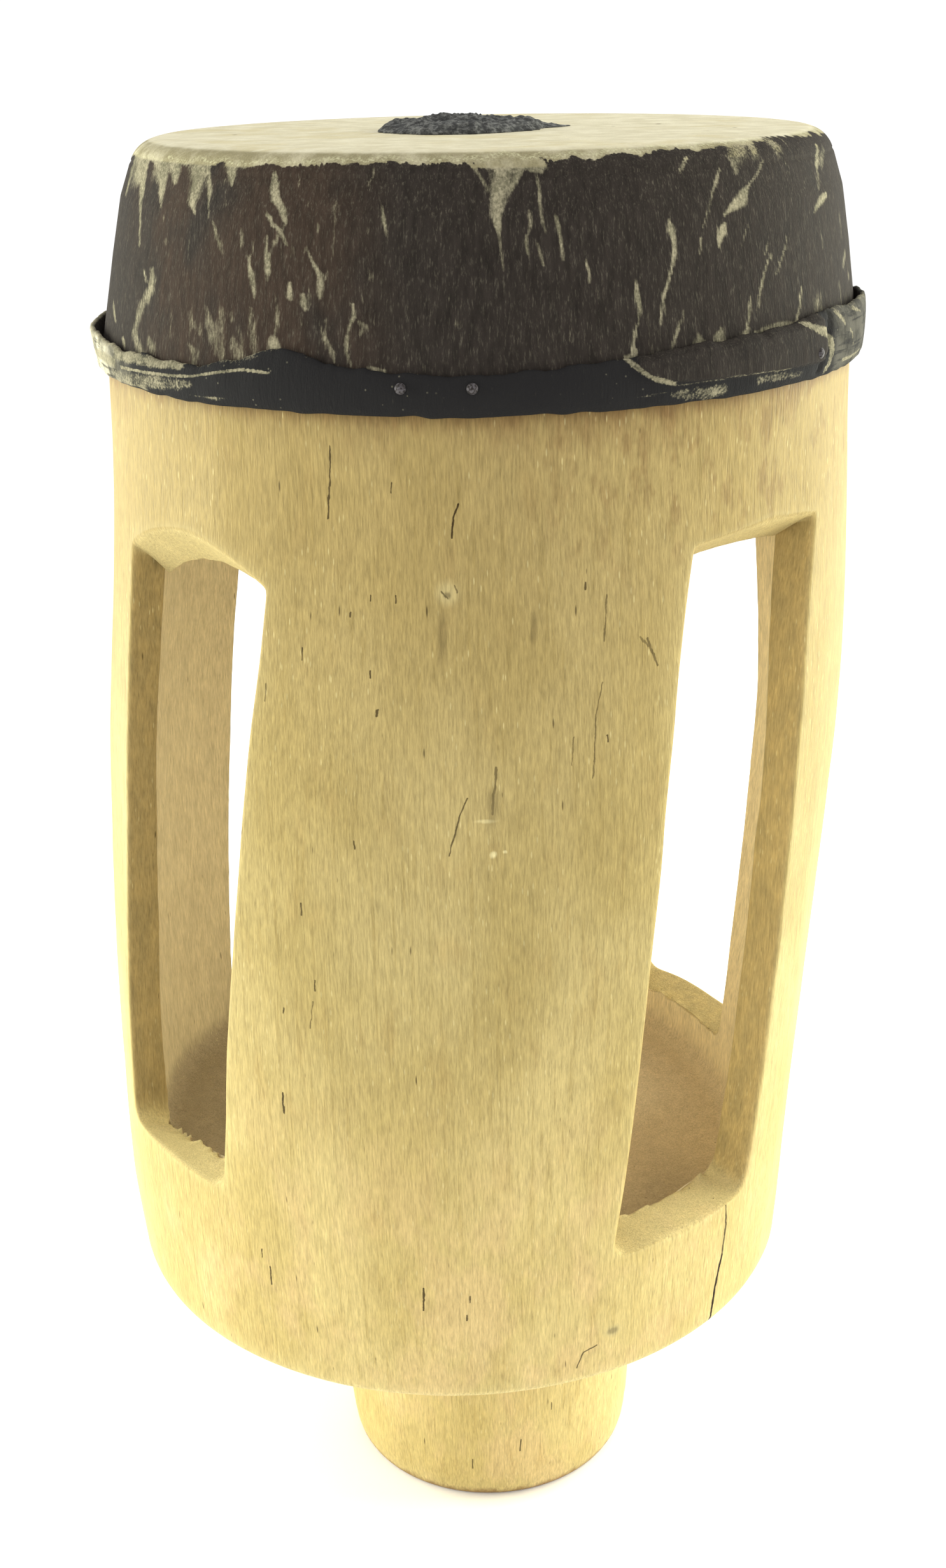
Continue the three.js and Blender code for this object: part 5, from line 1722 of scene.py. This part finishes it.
class HemTack:
    """One tack: a low dome with a turned rim, standing on the hem."""

    def __init__(self, node: str) -> None:
        """Take the tack's place from its solid in the frame."""
        low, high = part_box(node)
        self.node = node
        self.centre = (np.array(low) + np.array(high)) / 2.0 / MM
        self.radius = 1.85
        self.height = 1.2

    def build(self, timber: Timber) -> bpy.types.Object:
        """Make the tack: its section is a rim and a dome, turned about the line out of the drum."""
        centre = self.centre
        lean = float(timber.lean(centre[2]))
        out = np.array([centre[0] - lean, centre[1], 0.0])
        out /= np.linalg.norm(out)
        side = np.array([-out[1], out[0], 0.0])
        up = np.array([0.0, 0.0, 1.0])
        profile = np.array([
            (0.0, -1.5), (0.45, -1.5), (0.5, -0.1), (1.0, -0.02), (1.0, 0.16), (0.93, 0.3),
            (0.78, 0.55), (0.58, 0.78), (0.35, 0.93), (0.15, 0.99), (0.0, 1.0),
        ])
        angle = np.linspace(0.0, 2.0 * np.pi, 28, endpoint=False)[None, :, None]
        ring = np.cos(angle) * side + np.sin(angle) * up
        seat = centre - out * self.height * 0.5
        grid = seat + profile[:, :1, None] * self.radius * ring
        grid = grid + (profile[:, 1:, None] * self.height) * out
        skin = Skin(self.node.replace("hem_tack", "tack_head"), ())
        skin.add(grid)
        piece = skin.build()
        piece.data.materials.append(DullSteel().build())
        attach(piece, BODY)
        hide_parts(self.node)
        return piece


@dataclass(frozen=True)
class Panel:
    """One square soft light: its name, its place and size in metres, and its power in watts."""

    name: str
    place: tuple[float, float, float]
    size: float = 1.2
    power: float = 34.0


@dataclass(frozen=True)
class Studio:
    """The pale floor, soft lights and camera."""

    focal_pixels: float = 2999.9
    photo_height: float = 2464.0
    camera_place: tuple[float, float, float] = (0.0026, -0.74534, 0.62022)
    right: tuple[float, float, float] = (0.999839, -0.000572, -0.017917)
    up: tuple[float, float, float] = (0.016845, 0.371869, 0.928132)
    forward: tuple[float, float, float] = (-0.006132, 0.928285, -0.371819)
    sensor: float = 36.0
    floor: Colour = painted(255, 255, 255)
    floor_reach: float = 6.0
    tint: tuple[float, float, float] = (0.97, 1.0, 0.86)
    tent_strength: float = 1.1
    aim: tuple[float, float, float] = (0.0, 0.0, 0.3)
    panels: tuple[Panel, ...] = (
        Panel("left_panel", (-1.25, 0.25, 0.35)), Panel("right_panel", (1.25, 0.42, 0.6)),
    )

    def camera(self) -> None:
        """Set the camera where the photograph was taken from."""
        data = bpy.data.cameras.new("photo_camera")
        data.sensor_fit = "VERTICAL"
        data.sensor_height = self.sensor
        data.lens = self.sensor * self.focal_pixels / self.photo_height
        data.clip_start = 0.02
        data.clip_end = 50.0
        camera = bpy.data.objects.new("photo_camera", data)
        axes = [Vector(self.right), Vector(self.up), -Vector(self.forward)]
        turn = Matrix(axes).transposed().to_4x4()
        camera.matrix_world = Matrix.Translation(Vector(self.camera_place)) @ turn
        bpy.context.scene.collection.objects.link(camera)
        bpy.context.scene.camera = camera

    def light(self, panel: Panel) -> None:
        """Add one soft light, turned to the middle of the drum."""
        data = bpy.data.lights.new(panel.name, "AREA")
        data.shape = "SQUARE"
        data.size = panel.size
        data.energy = panel.power
        data.color = self.tint
        lamp = bpy.data.objects.new(panel.name, data)
        place = Vector(panel.place)
        turn = (Vector(self.aim) - place).to_track_quat("-Z", "Y").to_matrix().to_4x4()
        lamp.matrix_world = Matrix.Translation(place) @ turn
        bpy.context.scene.collection.objects.link(lamp)

    def lights(self) -> None:
        """Light the drum as in a white tent: strong from both sides, gentle in front and behind."""
        for panel in self.panels:
            self.light(panel)
        world = bpy.data.worlds.new("white_tent")
        world.use_nodes = True
        background = world.node_tree.nodes["Background"]
        background.inputs["Color"].default_value = (1.0, 1.0, 1.0, 1.0)
        background.inputs["Strength"].default_value = self.tent_strength
        bpy.context.scene.world = world
        bpy.context.scene.view_settings.view_transform = "Standard"

    def ground(self) -> None:
        """Add the floor: a wide plane under the foot."""
        edge = np.array([-self.floor_reach, self.floor_reach])
        x, y = np.meshgrid(edge, edge)
        mesh = bpy.data.meshes.new("studio_floor")
        corners = np.stack([x.ravel(), y.ravel(), np.zeros(4)], axis=-1)
        mesh.from_pydata(corners.tolist(), [], [(0, 1, 3, 2)])
        floor = bpy.data.objects.new("studio_floor", mesh)
        bench = Bench("pale_floor")
        mesh.materials.append(bench.finish(Base_Color=self.floor, Roughness=0.7))
        bpy.context.scene.collection.objects.link(floor)

    def build(self) -> None:
        """Set up the camera, the lights and the floor."""
        self.camera()
        self.lights()
        self.ground()


def report(piece: bpy.types.Object) -> None:
    """Log a finished piece's name and how many faces it has."""
    LOG.info("%s: %d faces", piece.name, len(piece.data.polygons))


def main() -> None:
    """Build the drum's pieces in order, then the studio."""
    logging.basicConfig(level=logging.INFO, format="%(message)s")
    timber = Timber()
    body = CarvedBody(timber, (FRONT_LEFT, FRONT_RIGHT, BACK_RIGHT, BACK_LEFT))
    report(body.build())
    hide = StretchedHide(timber, Hem())
    report(hide.build())
    report(PastePat(hide.head_height).build())
    for node in sorted(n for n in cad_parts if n.startswith("hem_tack")):
        report(HemTack(node).build(timber))
    Studio().build()


if __name__ == "__main__":
    main()
